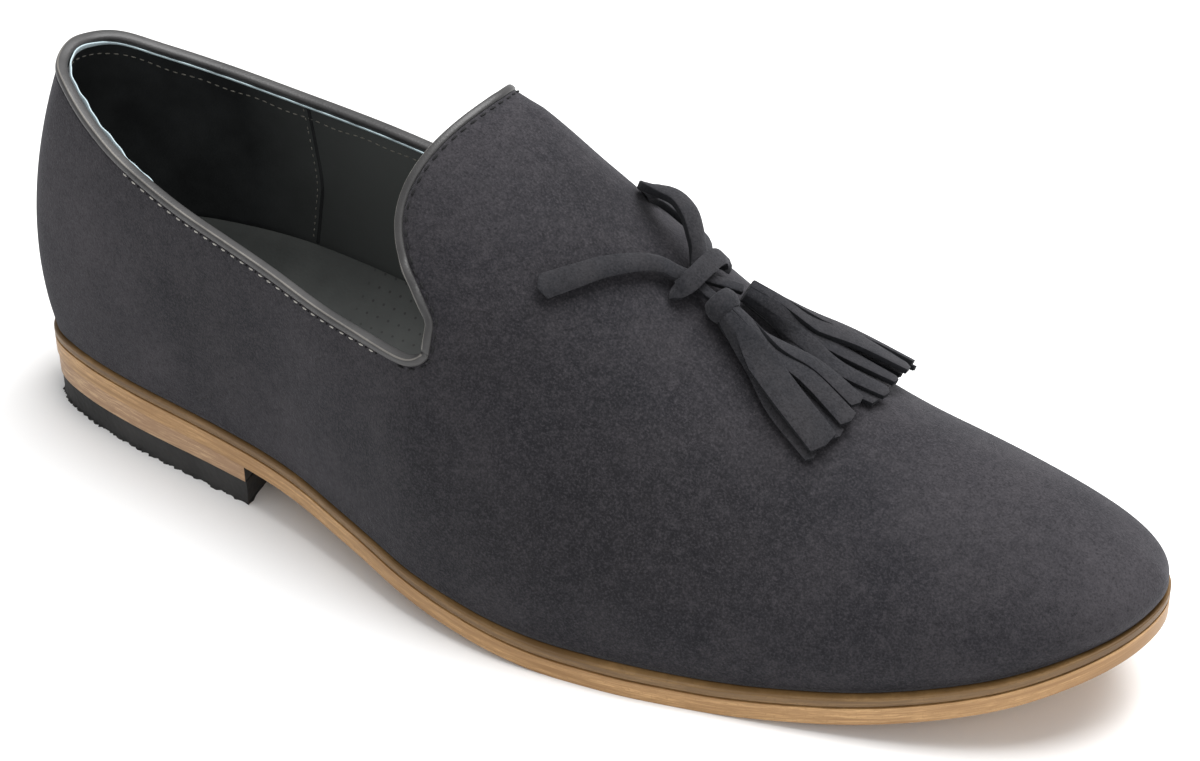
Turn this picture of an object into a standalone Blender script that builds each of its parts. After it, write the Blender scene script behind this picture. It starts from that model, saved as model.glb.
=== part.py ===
"""Tassel loafer, right shoe: a slipper-style loafer with a plain vamp, a bound topline, a low stacked heel
and a flat suede tie that ends in two tassels. Metres, +X to the toe, +Z up, the wearer's outer side at -Y."""

import bisect
import functools
import math

import bmesh
import bpy
import numpy as np
from mathutils import Matrix, Vector
from mathutils.bvhtree import BVHTree

# Driving sizes of the last and sole
SOLE_LENGTH = 0.291
BALL_WIDTH = 0.0993
INSTEP_HEIGHT = 0.109
HEEL_RISE = 0.0131
TOE_SPRING = 0.0225
HEEL_LENGTH = 0.0733
OUTSOLE = 0.0045
WELT = 0.0023
TOP_PIECE = 0.0066
BREAST_HOLLOW = 0.0025
HEEL_TAPER = 0.0006

# Sizes of the upper and what is in it
WALL = 0.0018
INSOLE = 0.0026
HEEL_PAD = 0.0024
INNER_CUP = 0.0135
OUTER_CUP = 0.0085
BACK_CUP = 0.0090
BACK_CUP_REACH = 0.028
WAIST_LEDGE = 0.0010
TOE_LEDGE = 0.0022
TIP_LEDGE = 0.0012
HEEL_SPINE = 0.033
TOE_SPINE = 0.041
BINDING_WIDTH = 0.0030
BINDING_PROUD = 0.0004

# Sizes of the tie and its tassels
TIE_WIDTH = 0.0045
TIE_LEATHER = 0.0015
CORD_WIDTH = 0.0024
KNOT_ALONG = 0.608
KNOT_ACROSS = -0.018
KNOT_LENGTH = 0.0096
KNOT_WIDTH = 0.0060
KNOT_HEIGHT = 0.0052
TASSEL_LENGTH = 0.0355
TASSEL_HEAD = 0.0066
HEAD_SHARE = 0.20
STRIP_WIDTH = 0.0036
STRIP_LEATHER = 0.0013

# Gap between pieces that meet
CLEARANCE = 0.0003

# Sides of the shoe, as the sign of y
OUTER = -1
INNER = 1

# Plan outline of the outsole: share of the length, then half widths as shares of the ball width
ALONG, OUTER_HALF, INNER_HALF = range(3)
OUTLINE = (
    (0.000, 0.000, 0.000),
    (0.020, 0.156, 0.148),
    (0.060, 0.215, 0.211),
    (0.120, 0.262, 0.261),
    (0.220, 0.312, 0.290),
    (0.300, 0.360, 0.288),
    (0.380, 0.438, 0.284),
    (0.460, 0.515, 0.306),
    (0.540, 0.545, 0.360),
    (0.620, 0.531, 0.420),
    (0.700, 0.490, 0.445),
    (0.780, 0.439, 0.418),
    (0.860, 0.374, 0.356),
    (0.930, 0.286, 0.266),
    (0.975, 0.184, 0.168),
    (1.000, 0.000, 0.000),
)

# Underside of the outsole in side view: shares of the heel rise and of the toe spring
HEEL_SHARE, TOE_SHARE = 1, 2
UNDERSIDE = (
    (0.00, 1.000, 0.00),
    (0.25, 0.880, 0.00),
    (0.40, 0.540, 0.00),
    (0.50, 0.200, 0.00),
    (0.59, 0.000, 0.00),
    (0.69, 0.000, 0.00),
    (0.78, 0.000, 0.10),
    (0.90, 0.000, 0.46),
    (1.00, 0.000, 1.00),
)

# Sections of the last: ridge height as a share of the instep height, the ridge's swing to the inner side
# and the bulge of each wall as shares of the ball width, then how full a section is low and high
RIDGE, SWING, OUTER_BULGE, INNER_BULGE, LOW, HIGH = range(1, 7)
SECTIONS = (
    (0.00, 1.213, 0.000, 0.122, 0.122, 0.450, 0.150),
    (0.15, 1.172, 0.010, 0.020, 0.040, 0.420, 0.780),
    (0.32, 1.104, 0.000, 0.034, 0.033, 0.400, 0.860),
    (0.44, 1.024, 0.004, 0.022, 0.022, 0.440, 0.700),
    (0.54, 0.884, 0.014, 0.014, 0.011, 0.460, 0.620),
    (0.70, 0.668, 0.015, 0.040, 0.008, 0.410, 0.420),
    (0.85, 0.521, 0.015, 0.060, 0.030, 0.450, 0.440),
    (1.00, 0.462, 0.000, 0.070, 0.050, 0.490, 0.470),
)

# Topline from the back of the heel round the throat to the tongue's peak: share along the last, share of
# the way round the section from feather edge to ridge, and where the wall below it meets the sole
UP, FOOT = 1, 2
OUTER_TOPLINE = (
    (0.000, 0.474, 0.000),
    (0.024, 0.460, 0.024),
    (0.066, 0.430, 0.066),
    (0.118, 0.396, 0.118),
    (0.210, 0.364, 0.210),
    (0.320, 0.358, 0.320),
    (0.400, 0.364, 0.395),
    (0.430, 0.371, 0.424),
    (0.450, 0.390, 0.450),
    (0.463, 0.430, 0.480),
    (0.464, 0.485, 0.510),
    (0.448, 0.530, 0.532),
    (0.428, 0.572, 0.550),
    (0.415, 0.640, 0.568),
    (0.418, 0.720, 0.584),
    (0.434, 0.840, 0.600),
    (0.456, 1.000, 0.618),
)
INNER_TOPLINE = (
    (0.000, 0.474, 0.000),
    (0.024, 0.464, 0.024),
    (0.062, 0.442, 0.062),
    (0.118, 0.418, 0.118),
    (0.210, 0.402, 0.210),
    (0.320, 0.406, 0.320),
    (0.400, 0.408, 0.395),
    (0.430, 0.412, 0.424),
    (0.450, 0.426, 0.450),
    (0.462, 0.456, 0.480),
    (0.463, 0.500, 0.510),
    (0.448, 0.544, 0.532),
    (0.430, 0.586, 0.550),
    (0.416, 0.652, 0.568),
    (0.425, 0.728, 0.584),
    (0.444, 0.842, 0.600),
    (0.456, 1.000, 0.618),
)

# Inset of the upper from the sole's edge
LEDGE = 1
LEDGES = (
    (0.00, WAIST_LEDGE),
    (0.38, WAIST_LEDGE),
    (0.62, TOE_LEDGE),
    (0.94, TOE_LEDGE),
    (1.00, TIP_LEDGE),
)

# The footbed's pad and cup, full under the heel and gone at the ball
FULL = 1
FOOTBED = (
    (0.00, 1.00),
    (0.13, 1.00),
    (0.28, 0.83),
    (0.45, 0.50),
    (0.60, 0.00),
    (1.00, 0.00),
)

# Routes of the tie from the knot's middle: to the toe, to the inner side, height over the vamp, in metres
TIE_LOOP = (
    (0.0000, 0.0010, 0.0032),
    (-0.0024, 0.0028, 0.0054),
    (-0.0050, 0.0036, 0.0078),
    (-0.0085, 0.0046, 0.0098),
    (-0.0121, 0.0060, 0.0091),
    (-0.0154, 0.0068, 0.0068),
    (-0.0171, 0.0082, 0.0040),
    (-0.0178, 0.0114, 0.0019),
    (-0.0171, 0.0160, 0.0012),
    (-0.0146, 0.0198, 0.0011),
    (-0.0106, 0.0202, 0.0011),
    (-0.0066, 0.0168, 0.0012),
    (-0.0028, 0.0100, 0.0015),
    (0.0000, 0.0026, 0.0024),
)
TIE_END = (
    (-0.0005, -0.0015, 0.0030),
    (-0.0030, -0.0030, 0.0032),
    (-0.0064, -0.0046, 0.0034),
    (-0.0098, -0.0078, 0.0033),
    (-0.0146, -0.0137, 0.0032),
    (-0.0189, -0.0194, 0.0028),
    (-0.0232, -0.0242, 0.0021),
)
NEAR_CORD = (
    (0.0005, -0.0010, 0.0024),
    (0.0032, -0.0018, 0.0030),
    (0.0059, -0.0022, 0.0038),
)
FAR_CORD = (
    (0.0005, 0.0005, 0.0026),
    (0.0046, 0.0026, 0.0032),
    (0.0086, 0.0047, 0.0037),
)

# Where each tassel's head starts from the knot's middle, and its heading towards the inner side in degrees
NEAR_HEAD = (0.0062, -0.0022)
NEAR_HEADING = -15.0
FAR_HEAD = (0.0093, 0.0052)
FAR_HEADING = 10.0

# Strips of each tassel: reach and sideways spread as shares of the tassel's length, heights of the middle
# and of the tip over the vamp as shares of the head, and width as a share of the strip's
REACH, ASIDE, MIDDLE, TIP, BROAD = range(5)
NEAR_STRIPS = (
    (0.94, -0.14, 0.22, 0.20, 0.9),
    (0.88, -0.09, 0.30, 0.24, 0.8),
    (0.95, -0.05, 0.60, 0.42, 1.5),
    (0.97, 0.04, 0.26, 0.24, 0.9),
    (0.96, 0.12, 0.56, 0.46, 1.1),
    (0.94, 0.17, 0.30, 0.34, 0.9),
    (0.93, 0.23, 0.61, 0.58, 0.9),
)
FAR_STRIPS = (
    (0.95, -0.18, 0.22, 0.24, 0.9),
    (0.99, -0.12, 0.45, 0.44, 1.0),
    (0.93, -0.04, 0.22, 0.26, 0.9),
    (0.97, 0.04, 0.55, 0.52, 1.1),
    (0.92, 0.13, 0.80, 0.86, 1.2),
    (0.95, 0.20, 0.30, 0.46, 0.9),
    (0.96, 0.28, 0.85, 0.96, 1.1),
    (0.98, 0.36, 0.55, 0.80, 0.9),
)

# Head of a tassel: places along it and half thicknesses, as shares of the head's
HEAD_PLACE, HEAD_RADIUS = range(2)
HEAD_PROFILE = (
    (0.00, 0.62),
    (0.15, 0.92),
    (0.60, 1.00),
    (1.00, 0.86),
    (1.70, 0.62),
    (2.30, 0.34),
)

# Where a strip starts and bends in the head: shares of the head's length, of the spread and of the way down
ROOT_REACH, ROOT_SPREAD, ROOT_DROP = 0.7, 0.15, 0.3
BEND_REACH, BEND_SPREAD, BEND_DROP = 1.4, 0.45, 0.6
MIDDLE_REACH, MIDDLE_SPREAD = 0.6, 0.88

# Sections of a flat strip, as shares of half its width and half its thickness
ROUNDED_STRIP = ((-1.0, 0.0), (-0.8, 1.0), (0.8, 1.0), (1.0, 0.0), (0.8, -1.0), (-0.8, -1.0))
SQUARE_STRIP = ((-1.0, -1.0), (-1.0, 1.0), (1.0, 1.0), (1.0, -1.0))

# Fineness of the meshes
EDGE_STEP = 0.01
RIDGE_STEP = 0.004
HALVINGS = 24
TOPLINE_STEPS = 12
SOLE_STATIONS = 44
SOLE_ACROSS = 4
INSOLE_ACROSS = 6
HEEL_STATIONS = 16
COLLAR_COLUMNS = 36
CORNER_WEIGHT = 0.025
VAMP_COLUMNS = 16
UPPER_ROWS = 14
COLUMN_SWEEP = 3.0
LINE_STEPS = 2
KNOT_ROUND = 12
HEAD_ROUND = 10


def turned(along):
    """Share of the length as an angle, in which the round ends of an outline are straight lines."""
    return math.acos(1.0 - 2.0 * min(max(along, 0.0), 1.0))


@functools.lru_cache(maxsize=None)
def slopes(places, values):
    """Slopes at a curve's rows that never overshoot them."""
    steps = [after - before for before, after in zip(places, places[1:])]
    rises = [(after - before) / step for before, after, step in zip(values, values[1:], steps)]
    inner = []
    for before, after, first, second in zip(rises, rises[1:], steps, steps[1:]):
        if before * after <= 0:
            inner.append(0.0)
            continue
        near = 2 * second + first
        far = second + 2 * first
        inner.append((near + far) / (near / before + far / after))
    return (rises[0], *inner, rises[-1])


def smooth(places, values, at):
    """Value at a place, on a smooth curve through the rows."""
    tangents = slopes(places, values)
    row = min(max(bisect.bisect_left(places, at) - 1, 0), len(places) - 2)
    span = places[row + 1] - places[row]
    share = min(max((at - places[row]) / span, 0.0), 1.0)
    rest = 1.0 - share
    return (
        values[row] * rest * rest * (1 + 2 * share)
        + values[row + 1] * share * share * (3 - 2 * share)
        + tangents[row] * span * share * rest * rest
        - tangents[row + 1] * span * share * share * rest
    )


@functools.lru_cache(maxsize=None)
def column(table, index):
    return tuple(row[index] for row in table)


@functools.lru_cache(maxsize=None)
def turned_column(table, index):
    return tuple(turned(value) for value in column(table, index))


def section(index, along):
    """One column of the sections at a share along the last."""
    return smooth(column(SECTIONS, ALONG), column(SECTIONS, index), along)


def half_width(side, angle):
    """Half width of the outsole at a turned place along it."""
    widths = column(OUTLINE, OUTER_HALF if side == OUTER else INNER_HALF)
    return BALL_WIDTH * smooth(turned_column(OUTLINE, ALONG), widths, angle)


def edge(side, along, inset):
    """Plan point of the outsole's edge, moved in by an inset square to the edge."""
    angle = turned(along)
    low = max(angle - EDGE_STEP, 0.0)
    high = min(angle + EDGE_STEP, math.pi)
    run = SOLE_LENGTH * (math.cos(low) - math.cos(high)) / 2
    rise = half_width(side, high) - half_width(side, low)
    if angle in (0.0, math.pi):
        run = 0.0
    size = math.hypot(run, rise)
    x = SOLE_LENGTH * along + inset * rise / size
    y = half_width(side, angle) - inset * run / size
    return x, side * max(y, 0.0)


def underside(x):
    """Height of the outsole's underside."""
    along = x / SOLE_LENGTH
    places = column(UNDERSIDE, ALONG)
    heel = smooth(places, column(UNDERSIDE, HEEL_SHARE), along)
    toe = smooth(places, column(UNDERSIDE, TOE_SHARE), along)
    return HEEL_RISE * heel + TOE_SPRING * toe


def welt_bottom(x):
    return underside(x) + OUTSOLE + CLEARANCE


def upper_bottom(x):
    return welt_bottom(x) + WELT + CLEARANCE


def ledge(along):
    """How far the upper stands in from the sole's edge."""
    return smooth(column(LEDGES, ALONG), column(LEDGES, LEDGE), along)


def ridge(along):
    """Height of the last's ridge."""
    return INSTEP_HEIGHT * section(RIDGE, along)


def skin(side, along, up):
    """Point on the outside of the last: along from heel to toe, up from the feather edge to the ridge."""
    x, y = edge(side, along, ledge(along))
    z = upper_bottom(x)
    spine = SOLE_LENGTH - HEEL_SPINE - TOE_SPINE
    top = Vector((HEEL_SPINE + spine * along, BALL_WIDTH * section(SWING, along), ridge(along)))
    before = max(along - RIDGE_STEP, 0.0)
    after = min(along + RIDGE_STEP, 1.0)
    slope = (ridge(after) - ridge(before)) / (spine * (after - before))
    across = Vector((x - top.x, y - top.y, 0.0))
    radius = across.length
    across.normalize()
    bulge = BALL_WIDTH * section(OUTER_BULGE if side == OUTER else INNER_BULGE, along)
    full = section(HIGH, along) * radius
    foot = Vector((x, y, z))
    low = foot + across * bulge + Vector((0.0, 0.0, section(LOW, along) * (top.z - z)))
    high = top + across * full + Vector((0.0, 0.0, slope * across.x * full))
    rest = 1.0 - up
    return foot * rest**3 + low * (3 * up * rest**2) + high * (3 * up**2 * rest) + top * up**3


def topline_columns(side):
    """Columns under the topline: where each starts at the sole and ends at the topline."""
    table = OUTER_TOPLINE if side == OUTER else INNER_TOPLINE
    rows = tuple(range(len(table)))
    ends = []
    for row in np.linspace(0.0, rows[-1], TOPLINE_STEPS * len(table)):
        end_foot = (1 - math.cos(smooth(rows, turned_column(table, FOOT), row))) / 2
        end_along = (1 - math.cos(smooth(rows, turned_column(table, ALONG), row))) / 2
        ends.append((end_foot, end_along, smooth(rows, column(table, UP), row)))
    points = [skin(side, end_along, up) for _, end_along, up in ends]
    runs = [after - before for before, after in zip(points, points[1:])]
    turns = [0.0] + [before.angle(after) for before, after in zip(runs, runs[1:])]
    gaps = [run.length + CORNER_WEIGHT * turn for run, turn in zip(runs, turns)]
    travel = np.concatenate([[0.0], np.cumsum(gaps)])
    even = np.linspace(0.0, travel[-1], COLLAR_COLUMNS + 1)
    return list(zip(*(np.interp(even, travel, column(tuple(ends), index)) for index in range(3))))


def vamp_columns():
    """Columns in front of the tongue's peak, which end on the ridge."""
    peak = OUTER_TOPLINE[-1]
    columns = []
    for angle in np.linspace(turned(peak[FOOT]), math.pi, VAMP_COLUMNS + 1)[1:]:
        foot = (1 - math.cos(angle)) / 2
        share = (foot - peak[FOOT]) / (1 - peak[FOOT])
        columns.append((foot, peak[ALONG] + (1 - peak[ALONG]) * share, 1.0))
    return columns


def upper_points(side):
    """Columns of points over one side of the upper, from the sole up."""
    grid = []
    for foot, along, up in topline_columns(side) + vamp_columns():
        points = []
        for row in range(UPPER_ROWS + 1):
            share = row / UPPER_ROWS
            place = foot + (along - foot) * share ** (COLUMN_SWEEP / up)
            points.append(skin(side, place, up * share))
        grid.append(points)
    return grid


def material(name, colour, roughness):
    made = bpy.data.materials.new(name)
    made.use_nodes = True
    shader = made.node_tree.nodes["Principled BSDF"]
    shader.inputs["Base Color"].default_value = (*colour, 1.0)
    shader.inputs["Roughness"].default_value = roughness
    shader.inputs["Metallic"].default_value = 0.0
    return made


def add_object(name, bm, finish):
    """Closes a bmesh into a named object with one material."""
    bmesh.ops.recalc_face_normals(bm, faces=bm.faces)
    mesh = bpy.data.meshes.new(name)
    bm.to_mesh(mesh)
    bm.free()
    mesh.materials.append(finish)
    made = bpy.data.objects.new(name, mesh)
    bpy.context.collection.objects.link(made)
    return made


def face(bm, corners):
    """A face from corners, of which neighbours may be one vertex at a pointed end."""
    distinct = [c for i, c in enumerate(corners) if c is not corners[i - 1]]
    if len(distinct) > 2:
        bm.faces.new(distinct)


def raised(rows, height):
    """Rows of plan points at a height that follows x."""
    return [[(x, y, height(x)) for x, y in row] for row in rows]


def slab(name, bottom_rows, top_rows, finish):
    """A plate between the rows of points across its underside and those across its top."""
    bm = bmesh.new()
    sides = []
    for rows in (bottom_rows, top_rows):
        grid = []
        for row in rows:
            if max(p[1] for p in row) - min(p[1] for p in row) < CLEARANCE:
                grid.append([bm.verts.new(row[0])] * len(row))
            else:
                grid.append([bm.verts.new(point) for point in row])
        sides.append(grid)
        for first, second in zip(grid, grid[1:]):
            for j in range(len(first) - 1):
                face(bm, (first[j], first[j + 1], second[j + 1], second[j]))
    bottom, top = sides
    for i in range(len(bottom) - 1):
        for j in (0, -1):
            face(bm, (bottom[i][j], bottom[i + 1][j], top[i + 1][j], top[i][j]))
    for i in (0, -1):
        for j in range(len(bottom[0]) - 1):
            if bottom[i][j] is not bottom[i][j + 1]:
                face(bm, (bottom[i][j], bottom[i][j + 1], top[i][j + 1], top[i][j]))
    return add_object(name, bm, finish)


def plan_rows(angles, inset, across=SOLE_ACROSS):
    """Rows of plan points from the outer edge to the inner one."""
    rows = []
    for angle in angles:
        along = (1 - math.cos(angle)) / 2
        start = edge(OUTER, along, inset(along))
        end = edge(INNER, along, inset(along))
        shares = [j / across for j in range(across + 1)]
        rows.append([(start[0] + (end[0] - start[0]) * s, start[1] + (end[1] - start[1]) * s) for s in shares])
    return rows


def heel_rows(inset):
    """Rows of plan points over the heel, the last one hollowed as the breast."""
    reach = turned(HEEL_LENGTH / SOLE_LENGTH)
    rows = plan_rows(np.linspace(0.0, reach, HEEL_STATIONS + 1), lambda along: inset)
    breast = []
    for j, (x, y) in enumerate(rows[-1]):
        share = 2 * j / SOLE_ACROSS - 1
        breast.append((x - BREAST_HOLLOW * (1 - share * share), y))
    rows[-1] = breast
    return rows


def make_heel():
    rubber = material("black_rubber", (0.02, 0.02, 0.02), 0.8)
    wood = material("heel_wood_look", (0.52, 0.36, 0.22), 0.5)
    piece = heel_rows(HEEL_TAPER)
    slab("heel_top_piece", raised(piece, lambda x: 0.0), raised(piece, lambda x: TOP_PIECE), rubber)
    stack = heel_rows(HEEL_TAPER / 2)
    stack_bottom = raised(stack, lambda x: TOP_PIECE + CLEARANCE)
    slab("heel_stack", stack_bottom, raised(stack, lambda x: underside(x) - CLEARANCE), wood)


def make_outsole():
    rows = plan_rows(np.linspace(0.0, math.pi, SOLE_STATIONS + 1), lambda along: 0.0)
    wood = material("sole_wood_look", (0.55, 0.37, 0.20), 0.45)
    slab("outsole", raised(rows, underside), raised(rows, lambda x: underside(x) + OUTSOLE), wood)


def footbed(along, x, rise):
    """Height of the footbed, with the rise towards the wall beside it."""
    full = smooth(column(FOOTBED, ALONG), column(FOOTBED, FULL), along)
    back = max(1.0 - x / BACK_CUP_REACH, 0.0) ** 2
    return upper_bottom(x) + INSOLE + full * (HEEL_PAD + back * BACK_CUP + (1.0 - back) * rise)


def at_wall(side, along, z):
    """Point beside the upper's inside at a height."""
    low = 0.0
    high = 0.5
    for _ in range(HALVINGS):
        middle = (low + high) / 2
        if skin(side, along, middle).z < z:
            low = middle
        else:
            high = middle
    point = skin(side, along, high)
    x, y = edge(side, along, ledge(along))
    clear_x, clear_y = edge(side, along, ledge(along) + WALL + 3 * CLEARANCE)
    return point.x + clear_x - x, point.y + clear_y - y


def make_insole():
    """The padded footbed, which rises to the wall all round the heel and at the sides of the waist."""
    angles = np.linspace(0.0, math.pi, SOLE_STATIONS + 1)
    bottom = plan_rows(angles, lambda along: ledge(along) + WALL + 2 * CLEARANCE, INSOLE_ACROSS)
    top = []
    for angle in angles:
        along = (1 - math.cos(angle)) / 2
        x = edge(OUTER, along, ledge(along))[0]
        start = at_wall(OUTER, along, footbed(along, x, OUTER_CUP))
        end = at_wall(INNER, along, footbed(along, x, INNER_CUP))
        row = []
        for j in range(INSOLE_ACROSS + 1):
            share = j / INSOLE_ACROSS
            place_x = start[0] + (end[0] - start[0]) * share
            place_y = start[1] + (end[1] - start[1]) * share
            cup = (OUTER_CUP if share < 0.5 else INNER_CUP) * (2 * share - 1) ** 2
            row.append((place_x, place_y, footbed(along, x, cup)))
        top.append(row)
    slab("insole", raised(bottom, welt_bottom), top, material("insole_sock", (0.06, 0.065, 0.06), 0.6))


def ring_of(outer_points, inner_points):
    """One closed ring of points from the two sides, which share their ends."""
    return list(outer_points) + list(inner_points[-2:0:-1])


def closed_tube(name, rings, finish):
    """A closed ring-shaped solid: each ring of points is joined to the next, and the last to the first."""
    bm = bmesh.new()
    loops = [[bm.verts.new(point) for point in ring] for ring in rings]
    for first, second in zip(loops, loops[1:] + loops[:1]):
        for i in range(len(first)):
            j = (i + 1) % len(first)
            bm.faces.new((first[i], first[j], second[j], second[i]))
    return add_object(name, bm, finish)


def make_welt():
    places = [(1 - math.cos(angle)) / 2 for angle in np.linspace(0.0, math.pi, SOLE_STATIONS + 1)]
    rings = []
    for inset, top in ((0.0, False), (0.0, True), (WALL, True), (WALL, False)):
        sides = []
        for side in (OUTER, INNER):
            points = []
            for along in places:
                seat = ledge(along) if inset else 0.0
                x, y = edge(side, along, seat + inset)
                points.append((x, y, welt_bottom(x) + (WELT if top else 0.0)))
            sides.append(points)
        rings.append(ring_of(*sides))
    closed_tube("welt", rings, material("welt_brown", (0.20, 0.12, 0.05), 0.5))


def make_upper():
    """The hollow upper, and its topline: points, outward normals and directions away from the upper."""
    outer = upper_points(OUTER)
    inner = upper_points(INNER)
    columns = ring_of(outer, inner)
    last = len(outer) - 1
    bm = bmesh.new()
    outside = []
    for index, points in enumerate(columns):
        outside.append([bm.verts.new(point) for point in points])
        mirror = 2 * last - index
        if index > last and mirror >= COLLAR_COLUMNS:
            bm.verts.remove(outside[index][-1])
            outside[index][-1] = outside[mirror][-1]
    count = len(outside)
    for index in range(count):
        here = outside[index]
        there = outside[(index + 1) % count]
        for row in range(UPPER_ROWS):
            face(bm, (here[row], there[row], there[row + 1], here[row + 1]))
    bmesh.ops.recalc_face_normals(bm, faces=bm.faces)
    bm.normal_update()
    spine = outside[0][0]
    if spine.normal.x > 0:
        bmesh.ops.reverse_faces(bm, faces=bm.faces)
        bm.normal_update()
    inside = {}
    for points in outside:
        for row, vertex in enumerate(points):
            if vertex not in inside:
                away = vertex.normal.copy()
                if row == 0:
                    away.z = 0.0
                    away.normalize()
                inside[vertex] = (vertex.co - away * WALL, away)
    rim = [points[-1] for points in outside[: COLLAR_COLUMNS + 1]]
    rim += [points[-1] for points in outside[count - COLLAR_COLUMNS + 1 :]]
    topline = []
    for index, vertex in enumerate(rim):
        run = (rim[(index + 1) % len(rim)].co - rim[index - 1].co).normalized()
        normal = inside[vertex][1]
        topline.append((vertex.co.copy(), normal, normal.cross(run).normalized()))
    lining = {vertex: bm.verts.new(place) for vertex, (place, _) in inside.items()}
    for old in list(bm.faces):
        face(bm, [lining[vertex] for vertex in reversed(old.verts)])
    feet = [points[0] for points in outside]
    for loop in (feet, rim):
        for index in range(len(loop)):
            here = loop[index]
            there = loop[(index + 1) % len(loop)]
            bm.faces.new((here, there, lining[there], lining[here]))
    return add_object("upper", bm, material("grey_suede", (0.06, 0.055, 0.065), 0.9)), topline


def make_binding(topline):
    """The binding: a soft-cornered strip that stands on the upper's top edge all the way round."""
    low = CLEARANCE
    high = CLEARANCE + BINDING_WIDTH
    corner = BINDING_WIDTH / 4
    outside = BINDING_PROUD
    inside = -WALL - BINDING_PROUD
    middle = -WALL / 2
    profile = (
        (outside, low),
        (outside, high - corner),
        (middle + WALL / 4, high),
        (middle - WALL / 4, high),
        (inside, high - corner),
        (inside, low),
    )
    rings = [[point + normal * out + off * up for point, normal, off in topline] for out, up in profile]
    closed_tube("collar_binding", rings, material("grey_leather", (0.11, 0.105, 0.105), 0.4))


def vamp_under(upper):
    """Returns a function that gives the point at a height over a place on the vamp, and the normal there."""
    polygons = [tuple(polygon.vertices) for polygon in upper.data.polygons]
    tree = BVHTree.FromPolygons([vertex.co for vertex in upper.data.vertices], polygons)
    reach = TIE_WIDTH

    def height(x, y):
        return tree.ray_cast(Vector((x, y, 2 * INSTEP_HEIGHT)), Vector((0.0, 0.0, -1.0)))[0].z

    def over(x, y, lift):
        slope_x = (height(x + reach, y) - height(x - reach, y)) / (2 * reach)
        slope_y = (height(x, y + reach) - height(x, y - reach)) / (2 * reach)
        normal = Vector((-slope_x, -slope_y, 1.0)).normalized()
        return Vector((x, y, height(x, y))) + normal * lift, normal

    return over


def through(points, steps):
    """A smooth line through the points, with so many steps between each two."""
    line = []
    for index in range(len(points) - 1):
        start = points[index]
        end = points[index + 1]
        leaving = (end - points[max(index - 1, 0)]) / 2
        arriving = (points[min(index + 2, len(points) - 1)] - start) / 2
        for step in range(steps):
            share = step / steps
            rest = 1.0 - share
            line.append(
                start * (rest * rest * (1 + 2 * share))
                + end * (share * share * (3 - 2 * share))
                + leaving * (share * rest * rest)
                - arriving * (share * share * rest)
            )
    line.append(points[-1])
    return line


def swept(bm, rings):
    """Joins open rings of points into one body with flat ends."""
    loops = [[bm.verts.new(point) for point in ring] for ring in rings]
    for first, second in zip(loops, loops[1:]):
        for i in range(len(first)):
            j = (i + 1) % len(first)
            bm.faces.new((first[i], first[j], second[j], second[i]))
    bm.faces.new(loops[0])
    bm.faces.new(loops[-1])


def strip_rings(points, normals, width, thickness, profile):
    """Rings of a flat strip along a line, its face looking along the normals."""
    rings = []
    for index, (point, normal) in enumerate(zip(points, normals)):
        run = points[min(index + 1, len(points) - 1)] - points[max(index - 1, 0)]
        side = run.cross(normal).normalized()
        up = side.cross(run).normalized()
        rings.append([point + side * (across * width / 2) + up * (out * thickness / 2) for across, out in profile])
    return rings


def tie_strip(name, route, over, width, finish, knot_room):
    """A length of the flat tie along a route, its hidden start cut off round the knot."""
    knot_x = KNOT_ALONG * SOLE_LENGTH
    knot_y = KNOT_ACROSS * BALL_WIDTH
    found = [over(knot_x + x, knot_y + y, lift) for x, y, lift in route]
    points = through([point for point, _ in found], LINE_STEPS)
    normals = through([normal for _, normal in found], LINE_STEPS)
    bm = bmesh.new()
    swept(bm, strip_rings(points, normals, width, TIE_LEATHER, ROUNDED_STRIP))
    made = add_object(name, bm, finish)
    cut = made.modifiers.new("room for the knot", "BOOLEAN")
    cut.operation = "DIFFERENCE"
    cut.object = knot_room


def knot_solid(name, grown, over, finish):
    """The knot as a rounded bundle that lies across the vamp, grown by a gap for its cutter."""
    middle, normal = over(KNOT_ALONG * SOLE_LENGTH, KNOT_ACROSS * BALL_WIDTH, KNOT_HEIGHT / 2 + CLEARANCE)
    forward = Vector((0.0, 1.0, 0.0)).cross(normal).normalized()
    axes = Matrix((forward, normal.cross(forward), normal)).transposed()
    radii = [size / 2 + grown for size in (KNOT_WIDTH, KNOT_LENGTH, KNOT_HEIGHT)]
    bm = bmesh.new()
    bmesh.ops.create_uvsphere(bm, u_segments=KNOT_ROUND, v_segments=KNOT_ROUND * 2 // 3, radius=1.0)
    for vertex in bm.verts:
        vertex.co = middle + axes @ Vector([axis * radius for axis, radius in zip(vertex.co, radii)])
    return add_object(name, bm, finish)


def make_tie(over, suede):
    """The knot, the one loop, the one free end and the two short legs that carry the tassels."""
    knot_solid("tie_knot", 0.0, over, suede)
    room = knot_solid("knot_room", CLEARANCE, over, suede)
    room.hide_render = True
    room.display_type = "WIRE"
    tie_strip("tie_loop", TIE_LOOP, over, TIE_WIDTH, suede, room)
    tie_strip("tie_end", TIE_END, over, TIE_WIDTH, suede, room)
    tie_strip("tassel_cord_near", NEAR_CORD, over, CORD_WIDTH, suede, room)
    tie_strip("tassel_cord_far", FAR_CORD, over, CORD_WIDTH, suede, room)


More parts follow.
